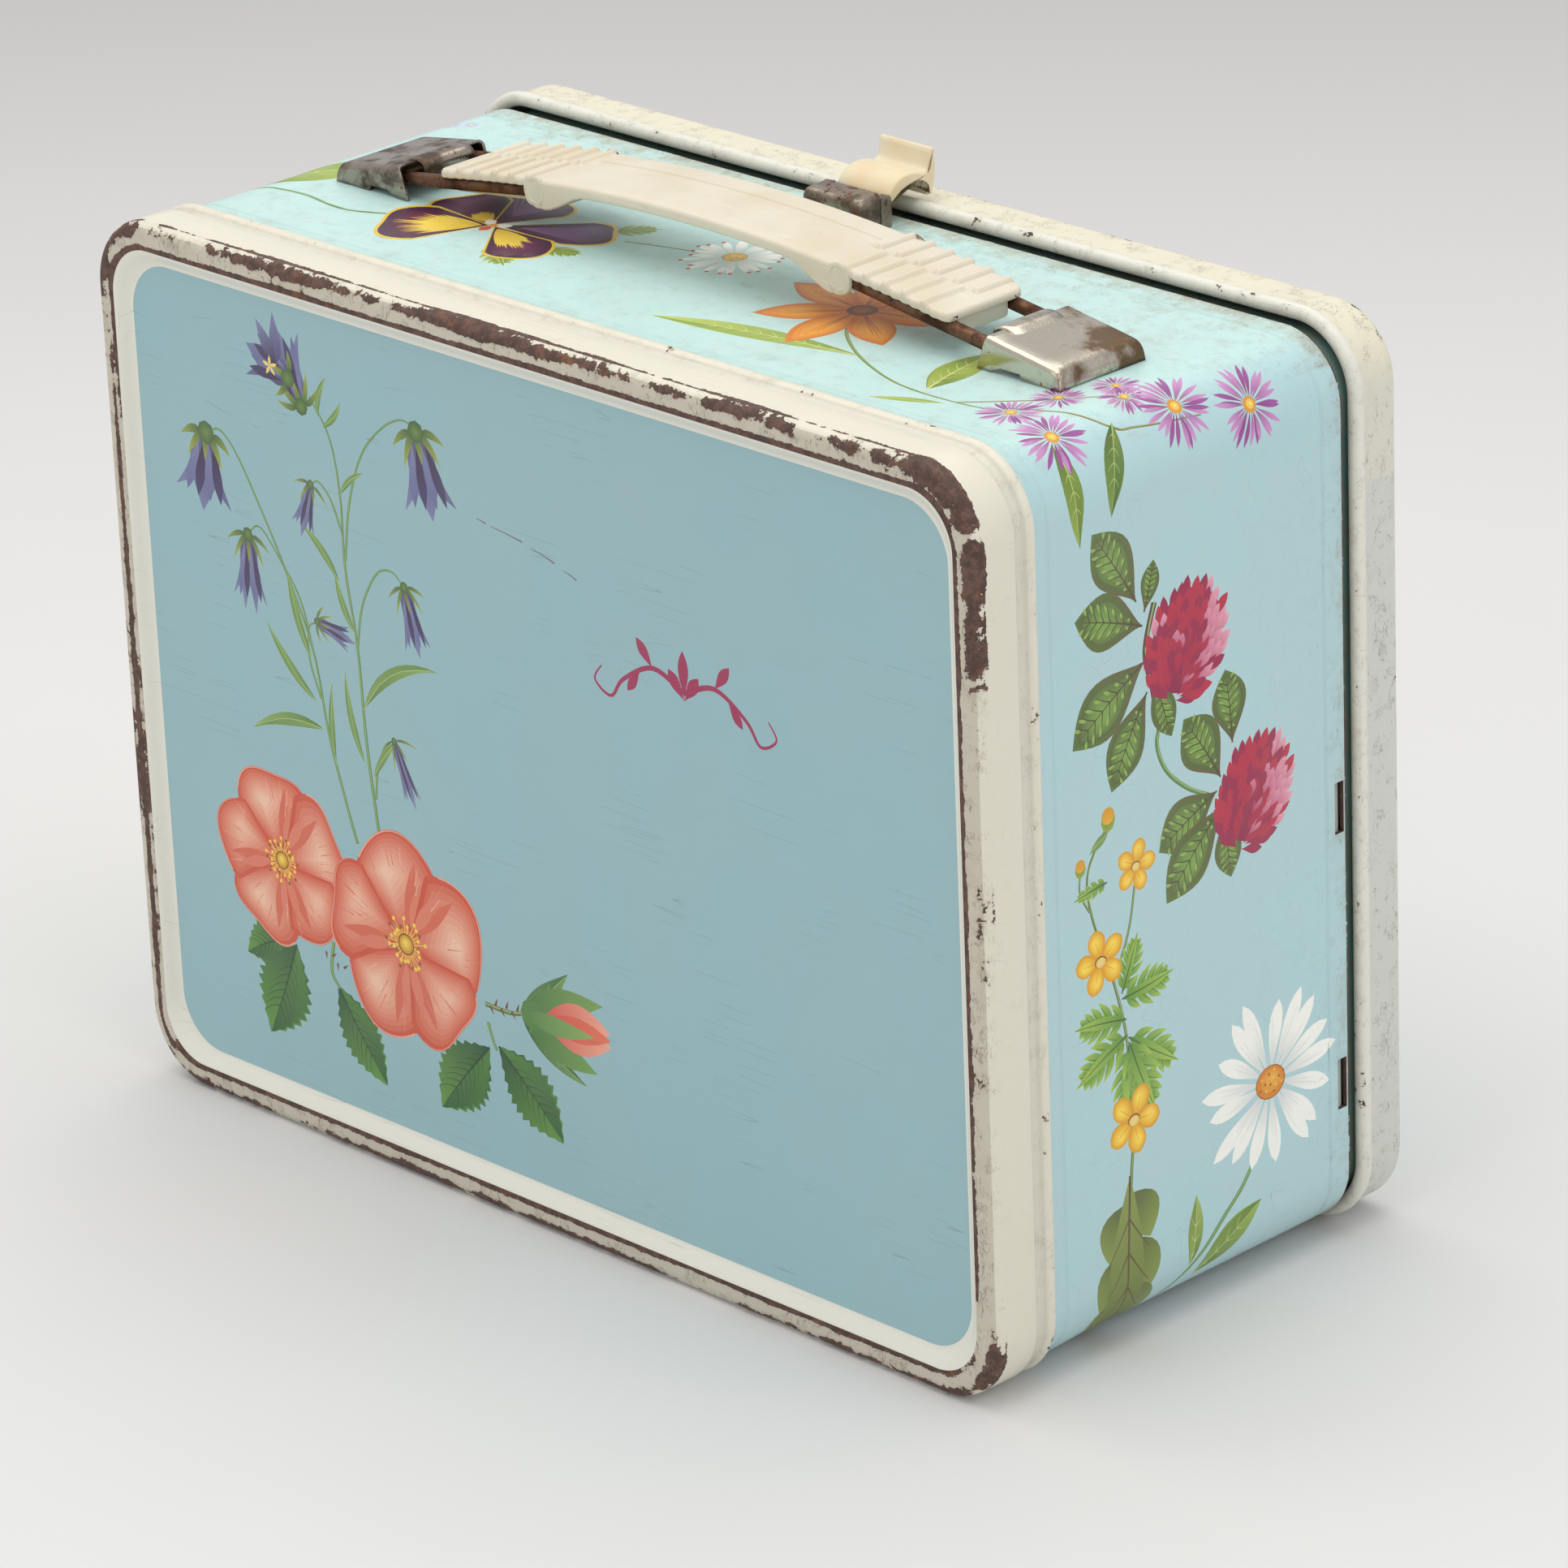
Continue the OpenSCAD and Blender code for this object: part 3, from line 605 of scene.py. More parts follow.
def pansy(art, c, r, turn):
    """A wide-faced flower: plum petals with gold rims, and a golden burst on its lower ones."""
    gold, plum, deep = (228, 190, 60), (112, 44, 84), (66, 26, 64)
    for a, m, spread, burst in ((100, 0.98, 42, 0.0), (22, 1.34, 22, 0.0), (156, 1.06, 34, 0.45),
                                (-24, 1.12, 27, 0.8), (212, 1.2, 37, 1.0)):
        a += turn
        art.add(fan(c, a, r * m, spread), gold)
        lit = (112, 32, 50) if burst > 0.9 else (plum if burst else (118, 72, 132))
        nested(art, fan(off(c, a, r * 0.02), a, r * m * 0.95, spread * 0.95), deep, lit,
               off(c, a, r * m * 0.6), 4, 0.75)
        if burst:
            for k in range(-8, 9):
                reach = r * m * burst * (0.76 - 0.18 * (k / 8) ** 2) * rnd.uniform(0.8, 1.05)
                art.add(blade(off(c, a, r * 0.12), a + k * spread * 0.10, reach, r * 0.055, 0.42, n=7),
                        (222, 184, 52), (246, 216, 84), c, off(c, a, r))
        else:
            for k in range(-4, 5):
                art.add(blade(off(c, a, r * 0.3), a + k * spread * 0.18, r * 0.62 * m, r * 0.03, 0.5, n=5),
                        (146, 98, 152))
    for a, tone in ((150, (244, 238, 226)), (30, (244, 238, 226)), (270, (206, 84, 40))):
        art.add(blade(c, a + turn, r * 0.2, r * 0.12, 0.6, n=6), tone)
    art.add(disc(c, r * 0.05, 8), (236, 160, 60))


def star_flower(art, c, r, turn):
    """An orange flower with a few wide pointed petals."""
    for i in range(7):
        a = turn + 360 * i / 7
        pts = blade(c, a, r * (1.0 + 0.06 * (i % 2)), r * 0.44, 0.52, 5, n=10, round_end=0.9)
        nested(art, pts, (216, 122, 28), (246, 168, 52), off(c, a + 5, r * 0.6), 3, 0.6)
        for k in (-1, 0, 1):
            art.add(ribbon([off(c, a + k * 4, r * 0.15), off(c, a + 3 + k * 3, r * (0.8 - 0.1 * abs(k)))],
                           r * 0.016, r * 0.006, 1), (190, 92, 20))
    nested(art, disc(c, r * 0.15, 12), (120, 66, 24), (190, 116, 40), c, 2)


def serrated(art, p, ang, length, width, bend=0):
    leaf(art, p, ang, length, width, (28, 76, 48), (96, 148, 60), 0.5, bend, teeth=11, bite=0.11, veins=7,
         rib=(34, 70, 40))


def rose_bud(art, p, ang, size):
    for a, m in ((-34, 0.9), (26, 1.0)):
        art.add(blade(p, ang + a, size * 1.15 * m, size * 0.34, 0.4, -a * 0.7), (58, 112, 52),
                (120, 160, 84), p, off(p, ang, size))
    root = off(p, ang, size * 0.22)
    for k, (a, w) in enumerate(((9, 0.42), (-8, 0.40), (0, 0.26))):
        art.add(blade(root, ang + a, size * 0.95, size * w, 0.52, -a), (206, 62, 50), (244, 172, 146)
                if k != 2 else (232, 120, 92), root, off(root, ang, size))
    art.add(disc(off(p, ang, size * 0.1), size * 0.16, 8), (76, 128, 62))
    art.add(blade(p, ang - 8, size * 0.95, size * 0.2, 0.4, 14), (76, 128, 62), (140, 176, 96), p,
            off(p, ang, size))


def thorns(art, a, b, count, size):
    for i in range(count):
        t = (i + 0.5) / count
        q = (a[0] + (b[0] - a[0]) * t, a[1] + (b[1] - a[1]) * t)
        art.add(blade(q, heading(a, b) + (62 if i % 2 else -62), size, size * 0.3, 0.2), (110, 70, 50))


GREEN, GREEN_L = (84, 124, 66), (146, 176, 96)


def bellflower_spray(art):
    """The tall spray of bellflowers, in the front panel's x and z."""
    stem(art, [(-49.6, 61.7), (-52.2, 69.7), (-55.5, 81.4), (-58.5, 97.2), (-64.8, 111.2), (-70.5, 121.5),
               (-76.2, 130.5), (-80.4, 134), (-84, 132.4)], 0.75, 0.35)
    stem(art, [(-43.3, 63.5), (-45.3, 81.8), (-46.2, 100.3), (-48.2, 115.3), (-48.4, 129), (-50.3, 139.3),
               (-55, 146)], 0.85, 0.4)
    for line in ([(-48, 116.8), (-46, 128), (-42, 138), (-36, 144.5), (-30.5, 147.2), (-27.2, 145.6)],
                 [(-46.2, 100.3), (-44.2, 109), (-40, 116), (-36, 117.6), (-32.7, 115.4)],
                 [(-43.7, 72), (-42.8, 77.7), (-40.5, 83), (-37.9, 84.8)],
                 [(-58.5, 97.2), (-61, 105.9), (-65.8, 112.5), (-71, 117.6), (-74.4, 115.4)],
                 [(-48.3, 121.5), (-51, 127.5), (-54, 130.2), (-56.2, 129.2)],
                 [(-57, 88), (-59.5, 95), (-59.2, 101), (-56.9, 102.8)]):
        stem(art, line, 0.6, 0.3)
    for p, a, length, width, bend in (((-45.5, 88.8), 62, 25, 2.6, -62), ((-56.6, 82), 172, 21, 2.6, 42),
                                      ((-58.2, 87), 148, 18, 2.1, -26), ((-59, 95), 118, 17, 2, -20),
                                      ((-46.5, 103), 128, 12, 1.7, -30), ((-46, 78), 118, 18, 1.8, -30),
                                      ((-48.4, 129), 60, 9, 1.3, -40), ((-50, 112), 122, 14, 1.8, 30),
                                      ((-54, 76), 100, 16, 1.6, -22), ((-44, 76), 62, 12, 1.6, -20),
                                      ((-52, 141), 28, 8, 1.4, 40), ((-53, 142.5), 96, 9, 1.4, -50)):
        leaf(art, p, a, length, width, GREEN, GREEN_L, 0.45, bend, veins=0)
    bell(art, (-57.4, 143.6), 112, 13, 10)
    bell(art, (-60.6, 148.2), 158, 10, 10.5, sepals=3)
    art.add(blade((-63.2, 150.5), 93, 9.5, 3, 0.35), VIOLET, VIOLET_L, (-63.2, 150), (-63.6, 160))
    art.add(blade((-63.8, 150.5), 122, 8.6, 2.8, 0.4), VIOLET_D, VIOLET_L, (-63.8, 150), (-68, 157))
    for a in (0, 72, 144, 216, 288):
        art.add(blade((-65.2, 149.5), a + 20, 2, 0.7, 0.5), (240, 214, 120))
    bell(art, (-84.2, 132.6), 262, 13.5, 13.5)
    bell(art, (-27.2, 145.8), 282, 14.5, 12.5)
    bell(art, (-56.2, 129.2), 252, 9.5, 5.4, 3, 4)
    bell(art, (-74.4, 115.4), 268, 13, 8.2, 4, 5)
    bell(art, (-56.9, 102.9), 350, 8.8, 4.6, 3, 5)
    bell(art, (-32.7, 115.4), 284, 11.5, 6.4, 3, 5)
    bell(art, (-37.9, 84.8), 292, 11.5, 4.2, 3, 4)


def rose_pair(art):
    for p, a, length, width, bend in (((-69, 37.5), 196, 15, 9, 18), ((-68.5, 36.5), 250, 22, 13.5, -8),
                                      ((-57.5, 31.5), 302, 20.5, 10.5, 8)):
        serrated(art, p, a, length, width, bend)
    stem(art, [(-17.5, 39.5), (-11, 39.6), (-6, 40.8)], 1, 0.8, (96, 116, 66))
    thorns(art, (-17, 39.5), (-7, 40.5), 7, 2)
    stem(art, [(-58, 40), (-59, 34), (-57, 31)], 0.9, 0.7)
    thorns(art, (-61, 38), (-55, 35), 4, 1.8)
    stem(art, [(-17, 36), (-16, 33), (-15, 31)], 0.8, 0.6)
    for p, a, length, width, bend in (((-17, 31), 226, 21, 12.5, 6), ((-14.5, 32), 322, 21.5, 12, -8)):
        serrated(art, p, a, length, width, bend)
    leaf(art, (-8, 40.5), 36, 17, 4.2, (38, 86, 48), (112, 156, 84), 0.42, 10, veins=3)
    leaf(art, (-8, 40), 318, 19, 3.6, (38, 86, 48), (112, 156, 84), 0.42, 26, veins=3)
    rose_bud(art, (-7, 40.8), 2, 19)
    wild_rose(art, (-71, 52.6), 17.4, 100)
    wild_rose(art, (-38, 45.2), 20.6, 96)


def ornament(art, c, size):
    """A small symmetrical sprig of three drops and two curls."""
    colour = (160, 44, 86)
    for s in (1, -1):
        pts = [off(c, 90 - s * 4, size * 0.1), (c[0] + s * size * 0.5, c[1] + size * 0.28),
               (c[0] + s * size * 1, c[1] + size * 0.02), (c[0] + s * size * 1.22, c[1] - size * 0.24),
               (c[0] + s * size * 1.48, c[1] - size * 0.10), (c[0] + s * size * 1.36, c[1] + size * 0.10)]
        art.add(ribbon(pts, size * 0.075, size * 0.02), colour)
        art.add(blade((c[0] + s * size * 0.5, c[1] + size * 0.27), 90 - s * 38, size * 0.42, size * 0.15,
                      0.6), colour)
        art.add(blade((c[0] + s * size * 0.72, c[1] + size * 0.18), -90 + s * 38, size * 0.36, size * 0.13,
                      0.6), colour)
    for a in (90, 54, 126):
        art.add(blade(c, a, size * (0.62 if a == 90 else 0.42), size * 0.17, 0.62), colour)


def scratch(art, points, width):
    """A broken brown scratch."""
    for a, b in zip(points[::2], points[1::2]):
        art.add(ribbon([a, ((a[0] + b[0]) / 2, (a[1] + b[1]) / 2 + 0.1), b], width * 0.4, width, 2),
                (104, 84, 70))


def front_art():
    art = Art()
    bellflower_spray(art)
    rose_pair(art)
    ornament(art, (38, 112), 15)
    scratch(art, [(-9, 132.6), (-1, 131.6), (-12.6, 133.2), (-10.2, 132.8), (1.2, 131), (7, 129.6),
                  (9.2, 128.8), (12.4, 127.8)], 0.26)
    return art


# ------------------------------------------------------------------ shells
R_OUT, PANEL_R, BOX_W, BOX_H, BOX_D, LID_H = 14.0, 10.0, 220.0, 170.0, 106.0, 171.0
BAND_IN, EDGE_R, PANEL_EDGE = 1.5, 2.3, 7.9   # insets of the band and the panels, and the rim's radius
STEPS = 24                                  # facets in each rounded corner


def soft(v, lo, hi):
    t = max(0.0, min(1.0, (v - lo) / (hi - lo)))
    return t * t * (3 - 2 * t)


def ring_frame(w, h, stops=()):
    """The outline as (core x, core z, direction x, direction z, side x, side z), clockwise from the upper
    left, seen from the front. The sides are -1, 0 or 1, and ring_at turns a place on it into a point."""
    cx, lo, hi = w / 2 - R_OUT, R_OUT, h - R_OUT
    corners = (((-cx, hi), 90), ((cx, hi), 90), ((cx, lo), 0), ((-cx, lo), -90), ((-cx, hi), -180))
    out = []
    for i in range(4):
        start, end = corners[i][0], corners[i + 1][0]
        a = 90 - 90 * i
        shares = [k / 9 for k in range(9)]
        if stops and i == 2:
            shares = [0.0] + [(cx - x) / (2 * cx) for x in stops]
        for t in shares:
            d = polar(a, 1)
            out.append((start[0] + (end[0] - start[0]) * t, start[1] + (end[1] - start[1]) * t, d[0], d[1]))
        for k in range(STEPS):
            d = polar(a - 90 * k / STEPS, 1)
            out.append((end[0], end[1], d[0], d[1]))
    side = lambda v, a, b: -1 if v < a + 1e-6 else (1 if v > b - 1e-6 else 0)
    return [f + (side(f[0], -cx, cx), side(f[1], lo, hi)) for f in out]


def ring_at(f, inset):
    """The point in x and z at an inset. Its corners get no sharper than PANEL_R, so round the sunk panels
    they are rounder than corners with one centre would be."""
    r = R_OUT - inset
    more = max(0.0, PANEL_R - r)
    return (f[0] + f[2] * (r + more) - f[4] * more, f[1] + f[3] * (r + more) - f[5] * more)


def ring_point(f, inset, depth):
    x, z = ring_at(f, inset)
    return (x * MM, (depth - BOX_D / 2) * MM, z * MM)


def arc(cx, cy, r, a0, a1, n):
    return [(cx + r * math.cos(math.radians(a0 + (a1 - a0) * i / n)), cy
             + r * math.sin(math.radians(a0 + (a1 - a0) * i / n))) for i in range(n + 1)]


def inside_loop(q, loop):
    odd = False
    for a, b in zip(loop, loop[1:] + loop[:1]):
        if (a[1] > q[1]) != (b[1] > q[1]) and q[0] < (b[0] - a[0]) * (q[1] - a[1]) / (b[1] - a[1]) + a[0]:
            odd = not odd
    return odd


class Shell:
    """A mesh under construction, with paint and wear for each corner of each face."""

    def __init__(self):
        self.verts, self.faces, self.paint, self.wear, self.normals = [], [], [], [], []

    def ring(self, frame_pts, profile, look, skip=None):
        """Sweeps the profile of (inset, depth) round the outline. look(inset, depth, x, z) gives a place's
        paint and wear, and skip(x, z, inset, depth) says where a face is left out."""
        base, n, m = len(self.verts), len(frame_pts), len(profile)
        for inset, depth in profile:
            for f in frame_pts:
                self.verts.append(ring_point(f, inset, depth))
        for j in range(m - 1):
            mid = ((profile[j][0] + profile[j + 1][0]) / 2, (profile[j][1] + profile[j + 1][1]) / 2)
            for i in range(n):
                k = (i + 1) % n
                f, h = frame_pts[i], frame_pts[k]
                if skip and skip((f[0] + h[0]) / 2, (f[1] + h[1]) / 2 if f[3] > -1 + 1e-6 else 0.0, *mid):
                    continue
                self.faces.append((base + j * n + i, base + j * n + k, base + (j + 1) * n + k, base
                                   + (j + 1) * n + i))
                a, b = (f[0] + f[2] * R_OUT, f[1] + f[3] * R_OUT), (h[0] + h[2] * R_OUT, h[1]
                                                                    + h[3] * R_OUT)
                self.paint += [look(*mid, *a)[0]] * 4
                self.wear += [look(*q, *at)[1] for q, at in ((profile[j], a), (profile[j], b),
                                                             (profile[j + 1], b), (profile[j + 1], a))]
                self.normals += [None] * 4

    def face(self, verts, colour, wear, order=None):
        """One more face, in one colour."""
        n = len(verts)
        self.faces.append(tuple(len(self.verts) + k for k in order or range(n)))
        self.verts += verts
        self.paint += [colour] * n
        self.wear += [wear] * n
        self.normals += [None] * n

    def plate(self, frame_pts, inset, depth, colour, wear, flip=False, art=None):
        """Fills the outline at an inset with a flat plate, painted with art in x and z."""
        ring = [ring_at(f, inset) for f in frame_pts]
        y = depth - BOX_D / 2
        to3d = lambda p: ((p[0] * MM, y * MM, p[1] * MM), None)
        self.canvas(ring, to3d, colour, wear, art, flip)

    def canvas(self, border, to3d, colour, wear, art=None, flip=False, lines=(), holes=()):
        """Triangulates the border with the artwork's outlines and paints what lies outside the holes."""
        shapes = art.shapes if art else []
        pts, edges, faces = [], [], []
        for loop in [border] + [s[0] for s in shapes] + list(holes):
            start = len(pts)
            area = sum(a[0] * b[1] - b[0] * a[1] for a, b in zip(loop, loop[1:] + loop[:1]))
            pts += [Vector(q) for q in (loop if area > 0 else loop[::-1])]
            faces.append(list(range(start, len(pts))))
        for line in lines:
            start = len(pts)
            pts += [Vector(q) for q in line]
            edges += [(k, k + 1) for k in range(start, len(pts) - 1)]
        v, _, f, _, _, src = geometry.delaunay_2d_cdt(pts, edges, faces, 0, 1e-4, True)
        base = len(self.verts)
        placed = [to3d(q) for q in v]
        self.verts += [q[0] for q in placed]
        flat = colour if callable(colour) else (lambda q, c=lin(colour): c)
        boxes = [(min(q[0] for q in o), min(q[1] for q in o), max(q[0] for q in o), max(q[1] for q in o))
                 for o, _ in shapes]
        for face, ids in zip(f, src):
            if 0 not in ids or max(ids) > len(shapes):
                continue
            a, b, c = (v[k] for k in face[:3])
            turn = (b - a).cross(c - a) if len(face) == 3 else 1
            order = list(face) if (turn > 0) != flip else list(face)[::-1]
            self.faces.append(tuple(base + k for k in order))
            mid, top = (a + b + c) / 3, 0
            for k in sorted((k for k in ids if k), reverse=True):
                x0, y0, x1, y1 = boxes[k - 1]
                if x0 <= mid[0] <= x1 and y0 <= mid[1] <= y1 and inside_loop(mid, shapes[k - 1][0]):
                    top = k
                    break
            for k in order:
                self.paint.append(shapes[top - 1][1](v[k]) if top > 0 else flat(v[k]))
                self.wear.append(wear(v[k]) if callable(wear) else wear)
                self.normals.append(placed[k][1])

    def build(self, name, body, material, nodes=(), sharp=38):
        me = bpy.data.meshes.new(name)
        me.from_pydata(self.verts, [], self.faces)
        for layer, values in (("paint", self.paint), ("wear", self.wear)):
            a = me.color_attributes.new(layer, "FLOAT_COLOR", "CORNER")
            flat = []
            for c in values:
                flat += [c[0], c[1], c[2], 1.0]
            a.data.foreach_set("color", flat)
        a = me.attributes.new("has_normal", "BOOLEAN", "CORNER")
        a.data.foreach_set("value", [q is not None for q in self.normals])
        a = me.attributes.new("own_normal", "FLOAT_VECTOR", "CORNER")
        flat = []
        for q in self.normals:
            flat += list(q or (0, 0, 0))
        a.data.foreach_set("vector", flat)
        bm = bmesh.new()
        bm.from_mesh(me)
        bmesh.ops.remove_doubles(bm, verts=bm.verts, dist=2e-6)
        bm.to_mesh(me)
        bm.free()
        me.polygons.foreach_set("use_smooth", [True] * len(me.polygons))
        me.set_sharp_from_angle(angle=math.radians(sharp))
        own = [0.0] * (len(me.loops) * 3)
        me.attributes["own_normal"].data.foreach_get("vector", own)
        if any(own):
            me.normals_split_custom_set([own[i:i + 3] for i in range(0, len(own), 3)])
        for extra in ("has_normal", "own_normal"):
            me.attributes.remove(me.attributes[extra])
        me.materials.append(material)
        return finish_piece(name, me, body, nodes)


def finish_piece(name, me, body, nodes=()):
    ob = bpy.data.objects.new(name, me)
    scene.collection.objects.link(ob)
    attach(ob, body)
    if nodes:
        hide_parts(*nodes)
    return ob


def bump_at(v, centre, width):
    """One at the centre, falling smoothly to nothing at width away."""
    t = abs(v - centre) / width
    return 0.0 if t >= 1 else 1 - t * t * (3 - 2 * t)


def cap_wear(inset, depth, x, z):
    """The front cap's bare places: a thin worn line inside its flat border, and chips along the outer edge
    that are heaviest at the upper corners and along the bottom."""
    half = BOX_W / 2
    uneven = noise.noise(Vector((x / 17, z / 17, 3.1))) + 0.6 * noise.noise(Vector((x / 6, z / 6, 8.7)))
    ragged = noise.noise(Vector((x / 3.1, z / 3.1, 5.3))) + 0.6 * noise.noise(Vector((x / 1.3, z / 1.3,
                                                                                      1.7)))
    upper, lower = soft(z, 128, 152), soft(z, 40, 14)
    corner_r, corner_l = soft(x, half - 34, half - 12) * upper, soft(-x, half - 26, half - 8) * upper
    low_r = soft(x, half - 22, half - 5) * soft(z, 34, 8)
    top_run = soft(z, BOX_H - 12, BOX_H - 6)
    left_run = soft(-x, half - 6, half - 3) * (1 - upper)
    inner = 1.02 - 0.10 * soft(x, half - 8, half - 4) - 0.3 * low_r + 0.2 * uneven - 0.5 * left_run
    outer = max(0.40, 0.74 * top_run, 0.94 * corner_r, 0.78 * corner_l, 0.78 * lower, 0.92 * low_r)
    outer += 0.40 * uneven * (1 - 0.6 * corner_r) + 0.34 * ragged
    line = max(0.0, min(1.0, (inset - 3.5) / 0.9)) * (1.0 if inset < 4.95 else 0.0)
    chip = 0.38 + 0.10 * ragged + (inner - 0.38) * line
    middle = left_run * bump_at(inset, 3.2, 1.1)
    chip += (1.02 + 0.2 * uneven - chip) * middle
    reach = 1.9 + 2.0 * max(corner_r, 0.5 * corner_l) + 0.6 * low_r + 0.9 * ragged
    if depth < 1.8:
        return max(chip, 0.38 + (outer - 0.38) * bump_at(inset, 1.1, max(0.9, reach)))
    return max(0.16, (outer + 0.02) * soft(depth, 4.2, 1.8) + 0.1 * soft(z, BOX_H - 9, BOX_H - 3))


def front_cap(material):
    frame_pts = ring_frame(BOX_W, BOX_H)
    cream, slope, worn, inside = lin(CREAM), lin((228, 226, 214)), lin((198, 191, 174)), lin(INSIDE)
    outside = [(PANEL_EDGE, 2.0), (7.5, 1.93), (7.0, 1.62), (6.4, 1.08), (5.9, 0.6), (5.5, 0.26),
               (5.15, 0.07), (4.96, 0.02)]
    outside += [(x / 10, 0.0) for x in range(49, 24, -2)] + arc(EDGE_R, EDGE_R, EDGE_R, 266, 180, 12)
    outside += [(0.0, 3.2), (0.0, 4.4), (0.0, 6.0), (0.0, 9.3), (0.12, 9.7), (0.5, 10.1), (0.86, 10.45),
                (1.0, 10.9), (1.0, 12.0)]
    outside += arc(1.5, 13.7, 1.5, 240, 65, 12) + [(2.2, 14.9)]
    inner = [(2.2, 11.0), (0.9, 9.4), (0.8, 6.0)] + arc(EDGE_R, EDGE_R, EDGE_R - 0.8, 180, 270, 6)
    inner += [(4.9, 0.8), (6.6, 2.0), (PANEL_EDGE, 2.8)]

    def look(inset, depth, x, z):
        if depth < 2.5 and inset > 4.93:
            return slope, (0.0, 0.12, 0.0)
        chip = cap_wear(inset, depth, x, z)
        if depth < 0.6:
            return worn, (chip, 0.36, 1.0)
        # painted shade in the seam's groove: a greyer cream than the wall beside it, and the higher grime
        # weight here is partly painted shade too
        if 10.2 < depth < 12.6:
            return lin((214, 210, 196)), (0.2, 0.34, 0.3)
        if depth > 12.6:
            return cream, (0.46 if depth < 14.6 and inset < 0.9 else 0.3, 0.25, 0.3)
        return cream, (chip, 0.2, 0.5 * soft(depth, 3.0, 1.0))

    shell = Shell()
    shell.ring(frame_pts, outside, look)
    shell.ring(frame_pts, [outside[-1]] + inner, lambda *place: (inside, (0.1, 0.3, 0.2)))
    shell.plate(frame_pts, PANEL_EDGE, 2.0, PANEL_BLUE, (0.0, 0.0, 0.0), art=front_art())
    shell.plate(frame_pts, PANEL_EDGE, 2.8, INSIDE, (0.1, 0.3, 0.1), flip=True)
    return shell.build("front_cap", "box", material, ["front_panel"])


# The band is drawn unrolled: u runs clockwise round it in mm from the foot of its left side, v is y in mm.
R_BAND = R_OUT - BAND_IN
TOP_L, SIDE_L, CORNER_L = BOX_W - 2 * R_OUT, BOX_H - 2 * R_OUT, math.pi / 2 * R_BAND
U_TOP = SIDE_L + CORNER_L
U_RIGHT = U_TOP + TOP_L + CORNER_L
U_BOTTOM = U_RIGHT + SIDE_L + CORNER_L
U_ALL = U_BOTTOM + TOP_L + CORNER_L
HINGE_X, BAIL_X, BAIL_Y = 62.0, 103.4, 35.4
CREASE_V, BAND_V0, BAND_V1 = 86.4 - BOX_D / 2, -39.0, 91.2 - BOX_D / 2
FLARE = 5                                   # how far the band's front edge takes to turn outward
SLOT_V0, SLOT_V1, EYE_Z = 35.6, 37.9, (30.8, 83.2)


def top(x, y):
    """A place on the band's top, as (u, v)."""
    return (U_TOP + x + TOP_L / 2, y)


def right(y, z):
    return (U_RIGHT + BOX_H - R_OUT - z, y)


def left(y, z):
    return (z - R_OUT, y)


def band_place(q):
    """The point and normal in space for a place on the unrolled band."""
    u, v = q[0], q[1]
    hx, z0, z1 = TOP_L / 2, R_OUT, BOX_H - R_OUT
    for start, length, (ax, az), (bx, bz), a in ((0, SIDE_L, (-hx, z0), (-hx, z1), 180),
                                                 (U_TOP, TOP_L, (-hx, z1), (hx, z1), 90),
                                                 (U_RIGHT, SIDE_L, (hx, z1), (hx, z0), 0),
                                                 (U_BOTTOM, TOP_L, (hx, z0), (-hx, z0), -90)):
        if u < start + length + CORNER_L + 1e-6:
            t = min(1.0, max(0.0, (u - start) / length))
            angle = a - 90 * max(0.0, (u - start - length) / CORNER_L)
            break
    d = polar(angle, 1)
    r, lean, share = R_BAND, 0.0, (v - BAND_V0) / FLARE
    if v < BAND_V0 + FLARE:
        lean = 0.5 * 0.5 * math.pi / FLARE * math.sin(math.pi * share)
        if share < 1:
            r += 0.5 * (0.5 + 0.5 * math.cos(math.pi * share)) - 0.25
    elif abs(v - CREASE_V) < 0.02:
        r -= 0.28
    if v <= BAND_V0 + FLARE:
        r += 0.25 * (1 - (v - BAND_V0 - FLARE) / 12)
    x, z = ax + (bx - ax) * t + d[0] * r, az + (bz - az) * t + d[1] * r
    n = Vector((d[0], lean, d[1])).normalized()
    return ((x * MM, v * MM, z * MM), tuple(n))


